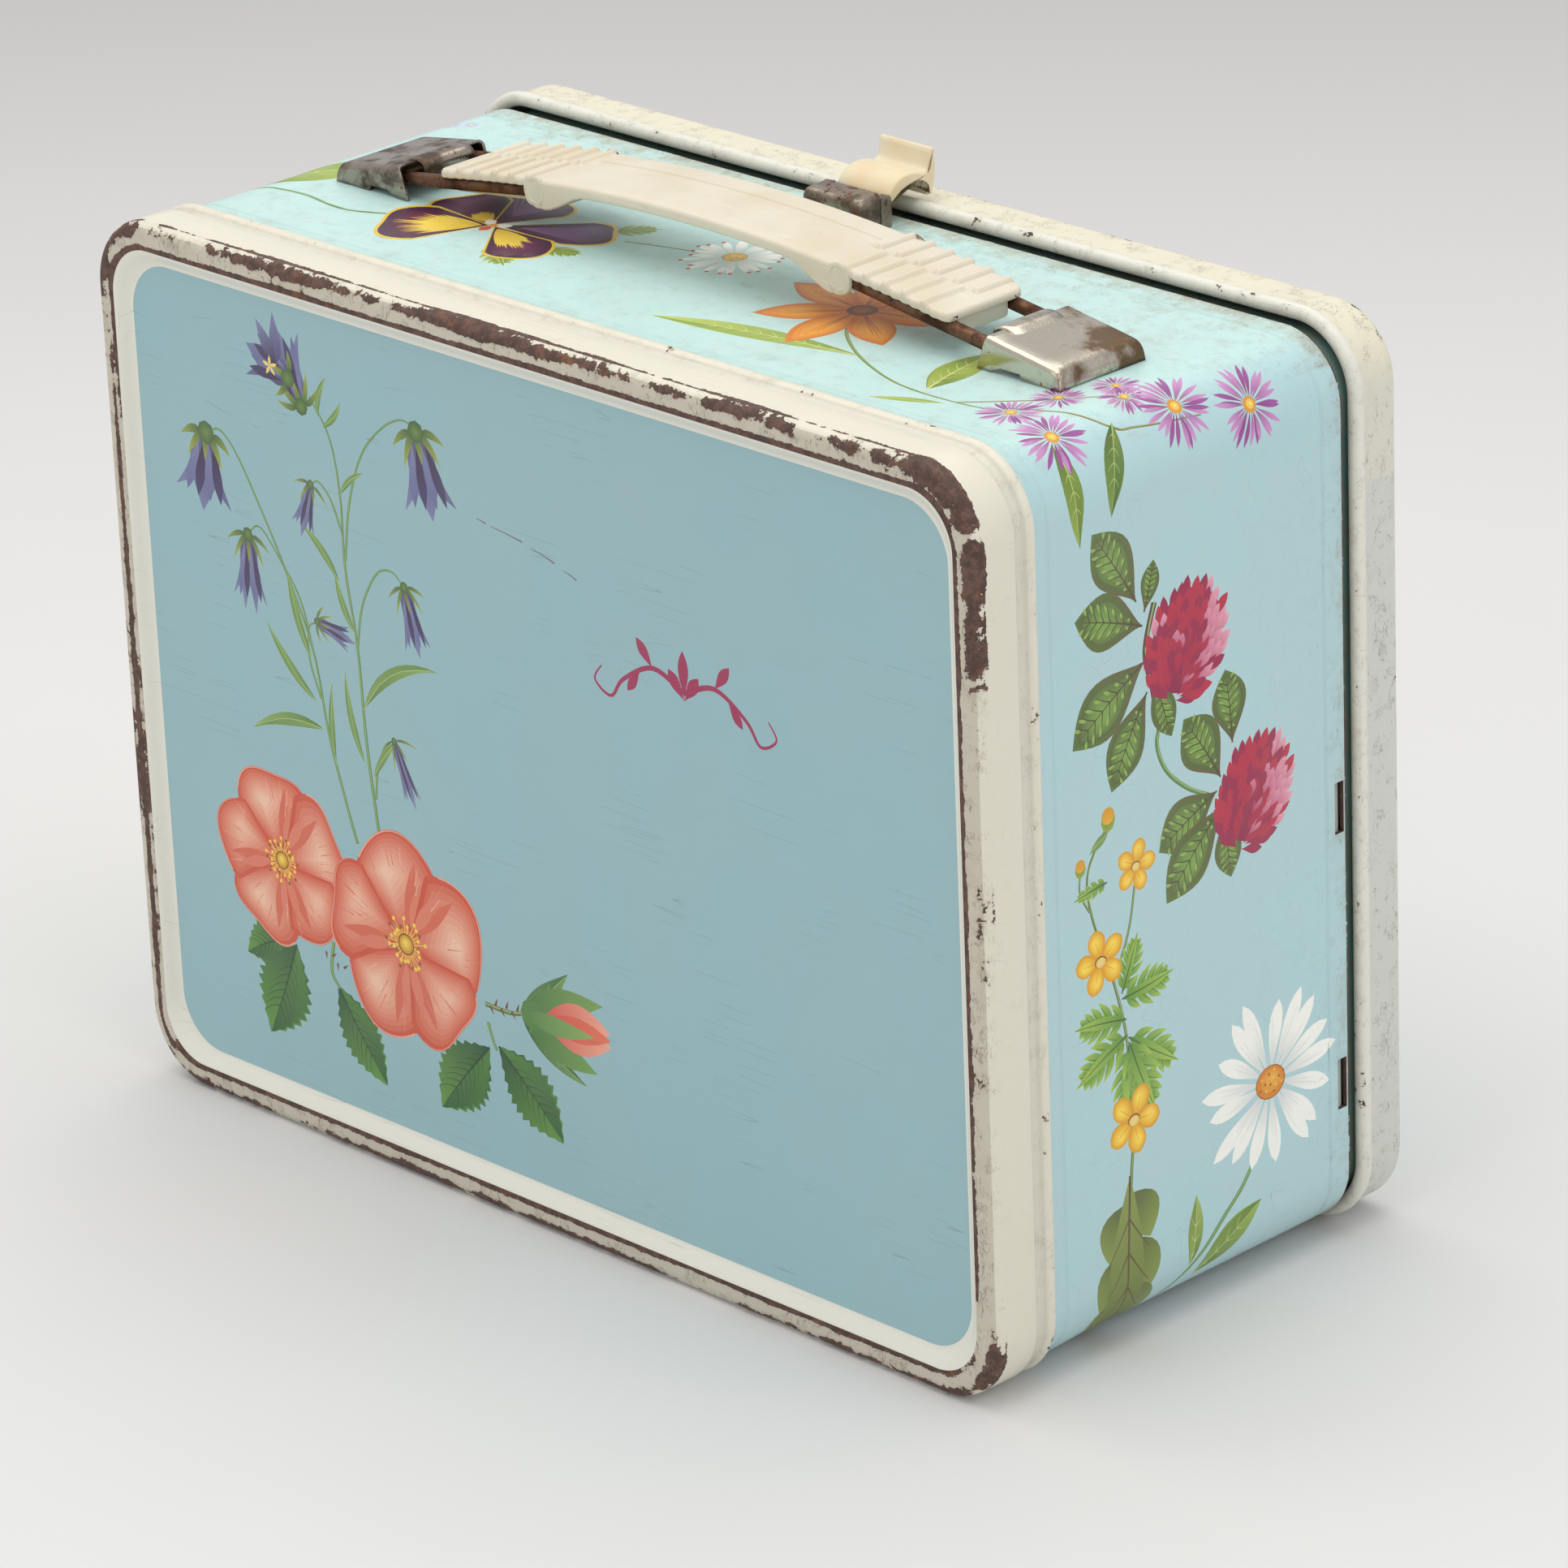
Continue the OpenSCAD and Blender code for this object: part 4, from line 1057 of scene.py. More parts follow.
def band(material):
    frame_pts = ring_frame(BOX_W, BOX_H)
    inside, blue = lin(INSIDE), lin(BAND_BLUE)
    us = []
    for start, length in ((0, SIDE_L), (U_TOP, TOP_L), (U_RIGHT, SIDE_L), (U_BOTTOM, TOP_L)):
        us += [start + length * k / 9 for k in range(9)]
        us += [start + length + CORNER_L * k / STEPS for k in range(STEPS)]
    us.append(U_ALL)
    border = [(u, BAND_V0) for u in us] + [(u, BAND_V1) for u in us[::-1]]
    lines = [[(u, BAND_V0), (u, BAND_V1)] for u in us[1:-1]]
    for v in [CREASE_V - 0.55, CREASE_V, CREASE_V + 0.55] + [BAND_V0 + 0.5 * k for k in range(1, 11)]:
        lines.append([(0, v), (U_ALL, v)])

    def wear(q):
        u, v = q[0], q[1]
        near = max(0.0, 1 - (v - BAND_V0) / 5)
        rear = max(0.0, 1 - (BAND_V1 - v) / 7)
        on_top = U_TOP - 12 < u < U_TOP + TOP_L + 12
        under = u > U_BOTTOM - 10
        dirt = 0.3 * near + 0.6 * rear + (0.34 if on_top else 0.04) + (0.4 if under else 0)
        return (0.1 * near + 0.28 * rear + (0.02 if on_top else 0) + (0.25 if under else 0), dirt,
                0.5 * rear + (0.25 if on_top else 0.06))

    def blue_with_painted_top_light(q):
        # painted light: the band's blue turns lighter and greener across its top, where the light from above
        # falls
        away = abs(q[0] - U_TOP - TOP_L / 2)
        return blend(blue, lin((190, 222, 219)), soft(away, TOP_L / 2 + 12, TOP_L / 2))

    shell = Shell()
    slots = [[right(y, z) for y, z in ((SLOT_V0, z0), (SLOT_V1, z0), (SLOT_V1, z0 + 9.6),
                                       (SLOT_V0, z0 + 9.6))] for z0 in (EYE_Z[0] - 4.8, EYE_Z[1] - 4.8)]
    shell.canvas(border, band_place, blue_with_painted_top_light, wear, band_art(), lines=lines, holes=slots)
    # the folded rims of the two slots, so that the sheet has a thickness there
    for loop in slots:
        for a, b in zip(loop, loop[1:] + loop[:1]):
            rim = []
            for x, y, z in (band_place(a)[0], band_place(b)[0]):
                rim += [(x, y, z), (x - 0.8 * MM, y, z)]
            shell.face(rim, lin((70, 60, 54)), (0.9, 0.8, 0.2), (0, 1, 3, 2))
    edge = [(1.5, 91.2), (1.56, 91.52), (1.74, 91.77), (1.98, 91.93), (2.3, 92.0), (3.3, 92.05),
            (3.55, 92.2)]
    neck = [(3.6, 92.6), (3.6, 96.0), (3.6, 98.8), (3.7, 99.0), (4.3, 99.0), (4.4, 98.8), (4.4, 92.0)]
    body = [(4.2, 91.3), (2.6, 90.6), (2.3, 90.2), (2.3, 60.0), (2.3, 30.0), (2.3, 12.0), (2.2, 11.0),
            (1.5, 11.0), (1.5, 14.0)]

    def look(inset, depth, x, z):
        if depth > 91 and inset < 3.0:
            return blue, (0.75, 0.8, 0.3)
        # painted shade: the neck inside the gap under the lid is a darker, greener teal than the band's blue
        if depth > 91 and inset < 4.0:
            return lin((120, 156, 150)), (0.2, 0.6, 0.2)
        return inside, (0.15, 0.35, 0.2)

    shell.ring(frame_pts, edge + neck + body, look)
    return shell.build("band", "box", material, ["body_band"], sharp=50)


def band_art():
    art = Art()
    top_art(art)
    right_art(art)
    left_art(art)
    return art


def left_art(art):
    """A tall loose bunch for the left side. Angle 0 is up there."""
    green, green_l = (84, 120, 52), (156, 184, 92)
    stem(art, [left(4, 16), left(9, 40), left(3, 72), left(-6, 102), left(-4, 130), left(-1, 146)], 1.1,
         0.5)
    stem(art, [left(8, 34), left(-8, 50), left(-15, 66)], 0.9, 0.7)
    stem(art, [left(5, 24), left(16, 36), left(20, 46)], 0.9, 0.7)
    stem(art, [left(4, 68), left(15, 84), left(19, 98)], 0.7, 0.5)
    stem(art, [left(-6, 100), left(-16, 112), left(-22, 112)], 0.6, 0.4)
    for y, z, a, length, width, bend in ((5, 22, -52, 24, 7.5, 18), (6, 20, 60, 22, 7, -18),
                                         (9, 44, 44, 18, 6, 16), (2, 78, -46, 20, 6.5, -16),
                                         (-4, 94, 40, 18, 6, 16), (8, 30, -30, 20, 6, 14),
                                         (-5, 108, -30, 15, 5, -14), (17, 90, 70, 13, 4.5, 16)):
        leaf(art, left(y, z), a, length, width, green, green_l, 0.5, bend, veins=4)
    for y, z, r in ((19, 100, 8), (25, 112, 6.2), (13, 112, 6.6), (21, 122, 5)):
        aster(art, left(y, z), r)
    bell(art, left(-3, 131), 155, 15, 12)
    bell(art, left(-22, 112), 190, 13, 11)
    bell(art, left(-1, 146), 12, 11, 8)
    buttercup(art, left(-24, 96), 5.5, 20)
    buttercup(art, left(-16, 88), 6.2, 50)
    daisy(art, left(-17, 70), 15, 16, (244, 246, 240), (200, 208, 212), (212, 136, 34), 3.2, 8, 0.20)
    wild_rose(art, left(18, 50), 16, 30)


def top_art(art):
    leaf(art, top(-104.5, -22), 62, 30, 10.5, (104, 138, 40), (186, 204, 96), 0.5, -10, veins=4)
    stem(art, [top(-110, -26), top(-102, -22.5), top(-90, -20), top(-76, -21), top(-62, -14)], 0.9, 0.6)
    for x, y in ((-102, 22.6), (-98.4, 25), (-95.6, 27.2), (-100.2, 27)):
        for k in range(5):
            art.add(blade(top(x, y), 72 * k + x * 9, 1.9, 1.5, 0.6, n=5), (150, 168, 206), (206, 214, 232),
                    top(x, y), 1.9)
        art.add(disc(top(x, y), 0.45, 6), (240, 220, 120))
    for x, y, a, size in ((-37, -20.5, -40, 12.5), (-30, -17, 10, 10), (-27.5, -4, 42, 11.5),
                          (-31.5, -12, 66, 10)):
        feather_leaf(art, top(x - 4, y + 3), a, size, 1, (104, 132, 40), (176, 196, 88))
    pansy(art, top(-49, -10.5), 18, 0)
    stem(art, [top(-24, -2), top(-14, 1), top(-4, 3)], 0.5, 0.4, (120, 120, 60))
    daisy(art, top(-2.6, 4.2), 9.6, 22, (250, 250, 246), (200, 206, 200), (226, 176, 50), 2.3, thin=0.16,
          tip=(206, 60, 50))
    leaf(art, top(52.3, -19), 184, 45, 5.6, (112, 140, 44), (190, 206, 100), 0.55, 12, veins=9)
    stem(art, [top(36.6, -5.1), top(41, -12), top(51.8, -19.5), top(66, -25), top(80, -25.5),
               top(89, -23.8)], 0.75, 0.4, (112, 132, 56))
    leaf(art, top(71.7, -24), 108, 21, 7.5, (92, 124, 36), (190, 204, 96), 0.5, -14, veins=5)
    star_flower(art, top(35, -2), 19, 14)
    leaf(art, top(79, -27), 200, 14, 2, (112, 140, 44), (190, 206, 100), 0.5, 8, veins=0)
    for pts in ([top(80, -25.5), top(90, -16), top(97, -8), right(-2.5, 168)],
                [top(88, -22.5), right(-14, 168.6), right(-8, 166), right(6, 164)]):
        stem(art, pts, 0.6, 0.35, (128, 112, 60))
    leaf(art, right(-12.3, 168.4), -40, 17, 4.4, (52, 84, 30), (124, 156, 60), 0.5, 34, veins=4)
    leaf(art, right(-26.5, 168.5), -8, 19, 4.2, (76, 104, 30), (150, 176, 70), 0.45, 16, veins=4)
    for c, r in ((top(90.4, -23.3), 6.2), (top(91.5, -13), 5.2), (right(-25.2, 170), 7.4),
                 (top(95, -2.7), 4.6), (top(99, -5), 4.8), (right(1.8, 167), 7.8), (right(17.2, 162.6), 8)):
        aster(art, c, r)


def right_art(art):
    stem(art, [right(-5.8, 115), right(-9, 110.5), right(-7.2, 104.5), right(-2, 99.4), right(4, 96)], 1,
         0.8)
    stem(art, [right(-9, 135), right(-11.5, 127), right(-10, 120), right(-8.6, 112)], 1.4, 0.8,
         (92, 60, 52))
    for (y, z), (ty, tz), w in (((-13.4, 136.4), (-23.5, 151), 8.6), ((-12, 131.7), (-28, 137), 9),
                                ((-11.6, 125.3), (-29.2, 114.8), 9.6), ((-11.2, 119.6), (-20.2, 104.6), 8),
                                ((-9.2, 122.4), (-5.4, 110), 5.4), ((-11.5, 134), (-9, 142.5), 4),
                                ((9.7, 103.9), (8.2, 117.4), 7.6), ((6.6, 98.6), (-2.2, 111.6), 8.8),
                                ((5.6, 96.3), (-8.8, 89.8), 8.8), ((7, 93.4), (-7.2, 80), 9),
                                ((7.8, 91.8), (8.8, 79.6), 6)):
        a, b = right(y, z), right(ty, tz)
        clover_leaf(art, a, heading(a, b) - 4, math.dist(a, b) * 1.02, w * 1.14)
    clover(art, right(-1, 125.9), 10.9, 9.9, heading(right(-5.8, 116.4), right(3.4, 135)))
    clover(art, right(15.2, 93.4), 10.6, 9.4, heading(right(10.6, 84), right(20, 102.8)))
    # buttercups and their cut leaves
    stem(art, [right(-18, 29), right(-17.5, 34), right(-16.9, 42), right(-18, 58), right(-21, 70),
               right(-26, 84), right(-26.5, 92), right(-21.8, 98.5)], 0.8, 0.5, (96, 112, 56))
    stem(art, [right(-21, 70), right(-17, 78), right(-14.9, 88)], 0.6, 0.5, (96, 112, 56))
    stem(art, [right(-26.4, 84.5), right(-28.6, 88.5), right(-28.4, 92.4)], 0.5, 0.4, (96, 112, 56))
    for (y, z), (ty, tz) in (((-19, 66), (-5.6, 66.4)), ((-19, 67), (-14, 77)), ((-18, 62), (-31, 65)),
                             ((-17.8, 59), (-31.4, 54)), ((-17.6, 58.5), (-5.6, 49)),
                             ((-17.6, 57), (-19.5, 43.4)), ((-17.4, 57.5), (-12, 41.8)),
                             ((-22, 88.5), (-30.5, 88))):
        a, b = right(y, z), right(ty, tz)
        feather_leaf(art, a, heading(a, b), math.dist(a, b), 0.7 if math.dist(a, b) < 9 else 1)
    for (y, z), r, t in (((-14.9, 89.2), 5, 20), ((-24, 74.6), 6.2, 50), ((-16.7, 42.7), 6.6, 10)):
        buttercup(art, right(y, z), r, t)
    for (y, z), r in (((-21.4, 99.6), 2), ((-28.4, 92.9), 1.5)):
        art.add(disc(right(y, z), r * 1.1, 9, 0.8), (100, 130, 50), (150, 170, 70), right(y, z), r)
        art.add(disc(right(y, z + r * 0.4), r * 0.8, 9), (242, 190, 50), (214, 150, 30), right(y, z), r)
    leaf(art, right(-21.4, 97.6), 300, 5.5, 1.8, GREEN, GREEN_L, veins=0)
    # the large lobed leaf that runs down and under
    a, olive, olive_l = right(-18, 32.6), (92, 104, 52), (136, 152, 74)
    for t, side, length in ((0.16, 1, 8), (0.20, -1, 8.5), (0.38, 1, 9.5), (0.42, -1, 10), (0.60, 1, 8.5),
                            (0.64, -1, 8.5)):
        base = off(a, -3, 40 * t)
        art.add(blade(off(base, -3, -3), side * 40, length + 3, 9, 0.5, -side * 26, n=9), olive, olive_l,
                base, off(base, side * 40, length))
    art.add(blade(a, -4, 42, 9, 0.5, n=12), olive_l, olive, a, off(a, -4, 42))
    for t in (0.2, 0.36, 0.52, 0.66):
        for side in (1, -1):
            q = off(a, -3, 40 * t)
            art.add(ribbon([q, off(q, side * 34, 5), off(q, side * 36, 8.5)], 0.35, 0.12, 2), (96, 78, 44))
    art.add(ribbon([a, off(a, -3, 20), off(a, -3, 39)], 0.6, 0.2, 2), (96, 78, 44))
    # white daisy
    stem(art, [right(15.4, 27), right(10.6, 20.6), right(5.2, 16), right(-1, 10.5), right(-9.6, 2.5)], 0.9,
         0.8)
    leaf(art, right(-3, 9.6), 166, 13.5, 3.8, (96, 124, 48), (164, 186, 96), 0.5, 14, veins=3)
    leaf(art, right(-0.8, 6.2), 128, 19, 6, (80, 112, 40), (156, 180, 84), 0.5, -12, veins=4)
    daisy(art, right(18, 37.6), 17.6, 17, (244, 244, 236), (204, 208, 206), (214, 132, 30), 3.2, 8, 0.19,
          squash=1.2)


def back_art():
    """A loose garland for the lid's panel. It is painted as seen from behind, so x runs the other way."""
    art = Art()
    stem(art, [(-62, 30), (-56, 62), (-40, 92), (-12, 112), (16, 118)], 0.9, 0.5)
    stem(art, [(62, 34), (58, 60), (44, 82), (26, 96)], 0.9, 0.5)
    for p, a, length, width, bend in (((-58, 52), 150, 20, 6, -20), ((-54, 66), 20, 22, 6, 20),
                                      ((-44, 86), 140, 18, 5, -20), ((-30, 101), 40, 18, 5, -20),
                                      ((58, 58), 30, 18, 6, 20), ((50, 75), 150, 20, 6, -20),
                                      ((-6, 114), -40, 18, 5, 20)):
        leaf(art, p, a, length, width, (58, 98, 48), (140, 172, 92), 0.5, bend, veins=4)
    daisy(art, (-34, 62), 15, 15, (244, 248, 248), (196, 214, 222), (206, 138, 40), 3.4, 20, 0.21)
    bell(art, (18, 118), 300, 14, 12)
    bell(art, (2, 117), 265, 12, 10)
    for c, r in (((28, 96), 8), ((38, 104), 6.5), ((44, 91), 6)):
        aster(art, c, r)
    buttercup(art, (-60, 84), 6.5, 10)
    buttercup(art, (-50, 104), 5.5, 40)
    serrated(art, (46, 44), 200, 22, 12)
    serrated(art, (66, 36), 320, 20, 11)
    wild_rose(art, (56, 46), 19, 110)
    rose_bud(art, (30, 34), 170, 16)
    return art


def lid(material):
    half = 13.0
    stops = [x + e for x in (HINGE_X, -HINGE_X) for e in (half, -half)]
    frame_pts = ring_frame(BOX_W, LID_H, stops)
    outside = [(PANEL_EDGE, 104.4), (7.5, 104.46), (7.0, 104.7), (6.4, 105.14), (5.9, 105.52), (5.5, 105.8),
               (5.1, 105.95)]
    outside += [(4.7, 106), (4.4, 106), (4.1, 106)] + arc(3.8, 103, 3, 88, 180, 9)
    outside += [(0.8, 99.0), (0.8, 96.95), (0.72, 96.55), (0.5, 96.2)]
    bead = arc(1.4, 95.0, 1.4, 128, 395, 20)
    inner = [(2.75, 96.1), (1.9, 96.7), (1.6, 97.4), (1.6, 102.9)] + arc(3.8, 103, 2.2, 180, 90, 6)
    inner += [(4.9, 105.1), (5.9, 104.7), (6.6, 103.9), (PANEL_EDGE, 103.6)]
    white, yellow, pale, inside = lin((224, 222, 210)), lin((224, 218, 195)), lin((204, 206,
                                                                                   198)), lin(INSIDE)

    def look(inset, depth, x, z):
        # painted light: the lid's cream is lighter and warmer on its top and greyer on its sides, as the
        # light from above falls
        skin_with_painted_top_light = blend(pale, yellow, soft(z, 148, 168))
        if depth > 104.5 and inset > 3:
            wear = (0.86, 0.3, 0.8) if 4.3 < inset < 4.95 else (0.3, 0.25, 0.6)
            return (skin_with_painted_top_light, wear) if inset < 5.05 else (lin((236, 236, 228)), (0.0, 0.1, 0.0))
        if depth > 96.4:
            return skin_with_painted_top_light, (0.44 if depth > 103.5 else 0.2, 0.24, 0.7)
        return white, (0.34, 0.25, 0.4)

    def look_bead(inset, depth, x, z):
        return white, (0.34 if depth > 94.6 else 0.47, 0.14 if depth > 94.2 else 0.4, 0.4)

    def notch(x, z, inset, depth):
        return z < 1 and abs(abs(x) - HINGE_X) < half and depth < 96.8

    shell = Shell()
    shell.ring(frame_pts, outside, look, notch)
    shell.ring(frame_pts, [outside[-1]] + bead, look_bead, notch)
    shell.ring(frame_pts, [bead[-1]] + inner, lambda *place: (inside, (0.12, 0.35, 0.2)), notch)
    # the bead's cut ends beside the hinges
    loop = outside[-4:] + bead + inner[:3]
    for x in stops:
        shell.face([(x * MM, (d - BOX_D / 2) * MM, i * MM) for i, d in loop], white, (0.5, 0.5, 0.2))
    mirrored = back_art()
    mirrored.shapes = [([(-q[0], q[1]) for q in pts], (lambda q, f=f: f((-q[0], q[1])))) for pts,
                       f in mirrored.shapes]
    shell.plate(frame_pts, PANEL_EDGE, 104.4, PANEL_BLUE, (0.0, 0.05, 0.0), flip=True, art=mirrored)
    shell.plate(frame_pts, PANEL_EDGE, 103.6, INSIDE, (0.1, 0.3, 0.1))
    return shell.build("lid", "lid", material, ["lid_shell"])


# ------------------------------------------------------------------ hardware
HAND_Y, BAND_TOP = -0.7, 168.5


def grid(rows, cols, wrap=False, base=0):
    """The four-sided faces between rows of places, each row cols long."""
    out = []
    for i in range(rows - 1):
        for j in range(cols if wrap else cols - 1):
            a, b = base + i * cols + j, base + i * cols + (j + 1) % cols
            out.append((a, b, b + cols, a + cols))
    return out


def simple(name, verts, faces, body, material, nodes=(), sharp=40, bevel=0.0, thick=0.0):
    """A piece from points in mm, with sharp edges where it turns by more than an angle."""
    me = bpy.data.meshes.new(name)
    me.from_pydata([tuple(c * MM for c in q) for q in verts], [], faces)
    bm = bmesh.new()
    bm.from_mesh(me)
    bmesh.ops.remove_doubles(bm, verts=bm.verts, dist=2e-6)
    bmesh.ops.recalc_face_normals(bm, faces=bm.faces)
    bm.to_mesh(me)
    bm.free()
    me.polygons.foreach_set("use_smooth", [True] * len(me.polygons))
    me.set_sharp_from_angle(angle=math.radians(sharp))
    me.materials.append(material)
    ob = finish_piece(name, me, body, nodes)
    if thick:
        m = ob.modifiers.new("sheet", "SOLIDIFY")
        m.thickness, m.offset = thick * MM, -1
    if bevel:
        m = ob.modifiers.new("edges", "BEVEL")
        m.width, m.segments, m.limit_method, m.angle_limit = bevel * MM, 3, "ANGLE", math.radians(28)
        m.harden_normals = True
    return ob


def drop(e, r):
    """How far a rounded edge of radius r has fallen at a distance e in from the edge."""
    return 0.0 if e >= r else r - math.sqrt(max(0.0, r * r - (r - max(e, 0.0)) ** 2))


BOSS_X, BOSS_Z, BOSS_R, GRIP_TOP, ARCH = 37.8, 176.9, 2.9, 182.2, 0.00135
GRIP_HALF, KEEL_Z = 63.5, 171.2
RIB_FIRST, RIB_PITCH, RIB_R = 39.6, 4.55, 0.72


def ribs(ax, y):
    """Height and nub of the cross ribs at a distance ax from the grip's middle."""
    high, nub = 0.0, 0.0
    for k in range(6):
        for half in (0, 1):
            at = RIB_FIRST + RIB_PITCH * (k - 0.5 * half)
            if at > GRIP_HALF - 2.5:
                continue
            in_half = soft(-y + 0.5, 0.0, 0.35) if half == 0 else soft(y - 0.5, 0.0, 0.35)
            d = abs(ax - at) / RIB_R
            if d < 1:
                h = math.sqrt(1 - d * d)
                high = max(high, 0.74 * h * in_half)
                nub = max(nub, h)
    return high, nub


def grip(material):
    xs = [0.0]
    while xs[-1] < GRIP_HALF - 1e-6:
        x = xs[-1]
        step = 2.0 if x < 33 else (0.24 if x < 61.5 else 0.14)
        xs.append(min(GRIP_HALF, x + step))
    xs += [35.58, 35.62, BOSS_X + BOSS_R - 0.02, BOSS_X + BOSS_R + 0.02, 62.45, 62.5]
    xs = sorted(set(round(x, 3) for x in xs))
    xs = [-x for x in xs[:0:-1]] + xs
    ys = [0.0, 0.5, 1.0, 1.25, 2.5, 4.2, 4.45, 5.4, 5.9, 6.1, 6.2, 6.24, 7.0, 8.0, 8.6, 9.1, 9.3, 9.34, 9.5,
          9.62, 9.74, 9.83, 9.88, 9.9]
    ys = [-y for y in ys[:0:-1]] + ys
    verts, faces = [], []

    def place(x, y, upper):
        ax, e_end = abs(x), GRIP_HALF - abs(x)
        high, nub = ribs(ax, y) if ax > 36 else (0.0, 0.0)
        w = 9.62 + 0.26 * nub * (ax > 36) + (0.2 if ax < 36 else 0.0)
        if e_end < 1.8:
            w -= drop(e_end, 1.8)
        s = math.copysign(1, y)
        yy = y if abs(y) <= 8 else s * (8 + (abs(y) - 8) * (w - 8) / 1.9)
        e = w - abs(yy)
        top_z = GRIP_TOP - 0.74 - ARCH * x * x
        plate = 2.4 - 0.7 * soft(ax, 30, 38)
        if upper:
            z = top_z + high
            if 1.0 < y < 4.45 and ax < 37:
                z -= 0.28 * soft(y, 1.0, 1.25) * (1 - soft(y, 4.2, 4.45)) * (1 - soft(ax, 35, 37))
            z -= 0.18 * (1 - soft(ax, 34, 38)) * soft(abs(y), 6.5, 9.9)
            z -= drop(e, 0.85) + drop(e_end, 0.8) * 0.9
            return (x, yy + HAND_Y, z)
        z = top_z - plate
        web = BOSS_Z - BOSS_R
        if ax < BOSS_X:
            web = z + (BOSS_Z - BOSS_R - z) * soft(ax, 24.5, 36.0) ** 1.2
        elif ax < BOSS_X + BOSS_R:
            web = BOSS_Z - math.sqrt(BOSS_R ** 2 - (ax - BOSS_X) ** 2)
        in_slot = 6.2 < abs(y) < 9.32
        if ax < 35.6 or (ax < BOSS_X + BOSS_R and not in_slot):
            z = min(z, web)
        if abs(y) <= 6.2 and 34.5 < ax < 62.48:
            keel = BOSS_Z - 2.9 + (KEEL_Z - BOSS_Z + 2.9) * (ax - BOSS_X) / (62.5 - BOSS_X)
            z = min(z, keel + drop(6.2 - abs(y), 0.5) + drop(62.5 - ax, 0.6))
        z += drop(e, 0.5) + drop(e_end, 0.5)
        return (x, yy + HAND_Y, z)

    n, m = len(xs), len(ys)
    for upper in (True, False):
        for x in xs:
            for y in ys:
                verts.append(place(x, y, upper))
    faces += grid(n, m) + grid(n, m, base=n * m)
    for i in range(n - 1):
        for j in (0, m - 1):
            a, b = i * m + j, (i + 1) * m + j
            faces.append((a, b, b + n * m, a + n * m))
    for j in range(m - 1):
        for i in (0, n - 1):
            a, b = i * m + j, i * m + j + 1
            faces.append((a, b, b + n * m, a + n * m))
    ob = simple("grip", verts, faces, "grip", material, ["handle_grip"], sharp=48)
    # the round bosses that close the pivots, on both sides
    for s in (-1, 1):
        for side in (-1, 1):
            v = []
            rows = ((2.75, 0.0), (2.75, 0.10), (2.6, 0.2), (2.1, 0.24), (1.95, 0.14), (0.0, 0.12))
            for r, d in rows:
                for k in range(28):
                    q = polar(360 * k / 28, r)
                    v.append((s * BOSS_X + q[0], HAND_Y + side * (9.64 + d), BOSS_Z + 0.35 + q[1]))
            simple("grip_boss_%s_%s" % ("left" if s < 0 else "right", "front" if side < 0 else "rear"), v,
                   grid(len(rows), 28, True), "grip", material, (), sharp=30)
    return ob


def hood(name, rows, half, radius, base, place, material, body, nodes, thick, shear=0.0, notch=None):
    """A cover bent from sheet, open at one end. rows are (distance, height); the cover is 2 * half wide."""
    section = []
    for k in range(3):
        section.append((-half, k / 3, 0))
    for k in range(6):
        q = polar(180 - 90 * k / 5, 1)
        section.append((-half + radius + q[0] * radius, 1, q[1]))
    for k in range(1, 8):
        section.append((-half + radius + (2 * half - 2 * radius) * k / 8, 1, 1))
    section += [(-a, b, c) for a, b, c in section[:9][::-1]]
    verts = []
    for s, h in rows:
        for a, b, c in section:
            r = min(radius, h * 0.8)
            z = (h - r) * b if c == 0 and b < 1 else h - r + r * c
            z = max(z, 0.02)
            if notch and b == 0 and notch[0] < s < notch[1]:
                z = notch[2]
            lean = shear * (1 - z / rows[0][1]) * max(0.0, 1 - (s - rows[0][0]) / 5)
            verts.append(place(s - lean, a, base + z))
    return simple(name, verts, grid(len(rows), len(section)), body, material, nodes, sharp=50,
                  thick=thick)


def clip(side, material):
    name = "clip_right" if side > 0 else "clip_left"
    rows = [(73.2, 6.2), (73.35, 6.22), (74.4, 6.05), (74.9, 5.95), (77.0, 5.6), (80.9, 5.0), (81.3, 4.93),
            (85.0, 4.35), (88.0, 3.85), (88.8, 3.62), (89.4, 3.2), (89.8, 2.6), (90.05, 1.8), (90.18, 0.9),
            (90.2, 0.05)]
    ob = hood(name, rows, 10.5, 1.1, BAND_TOP, lambda s, a, z: (side * s, HAND_Y + a, z), material, "box",
              ["handle_clip_right" if side > 0 else "handle_clip_left"], 0.6, 2.2,
              (75.0, 81.0, 1.15))
    # the raised tongue at the mouth, between the two wires, with its lip turned down
    line = [(76.6, 5.55), (75.4, 6.15), (74.4, 6.55), (73.0, 6.62), (71.9, 6.5), (71.1, 6.05), (70.75, 5.3),
            (70.7, 4.3), (70.7, 3.2)]
    line = curve(line, 3)
    verts, m = [], 9
    for x, z in line:
        for k in range(m):
            a = -6.1 + 12.2 * k / (m - 1)
            lift = -0.25 * max(0.0, abs(a) - 5.3)
            verts.append((side * x, HAND_Y + a, BAND_TOP + z + lift))
    simple(name + "_tongue", verts, grid(len(line), m), "box", material, (), thick=0.55)
    return ob


def bracket(material):
    rows = [(-31.3, 6.6), (-27.0, 6.5), (-26.6, 6.42), (-26.2, 6.15), (-25.9, 5.6), (-25.8, 4.8),
            (-25.75, 2.0), (-25.7, 0.05)]
    return hood("latch_box", rows, 7.0, 0.8, BAND_TOP, lambda s, a, z: (a, -s, z), material, "box",
                ["latch_bracket"], 0.6)


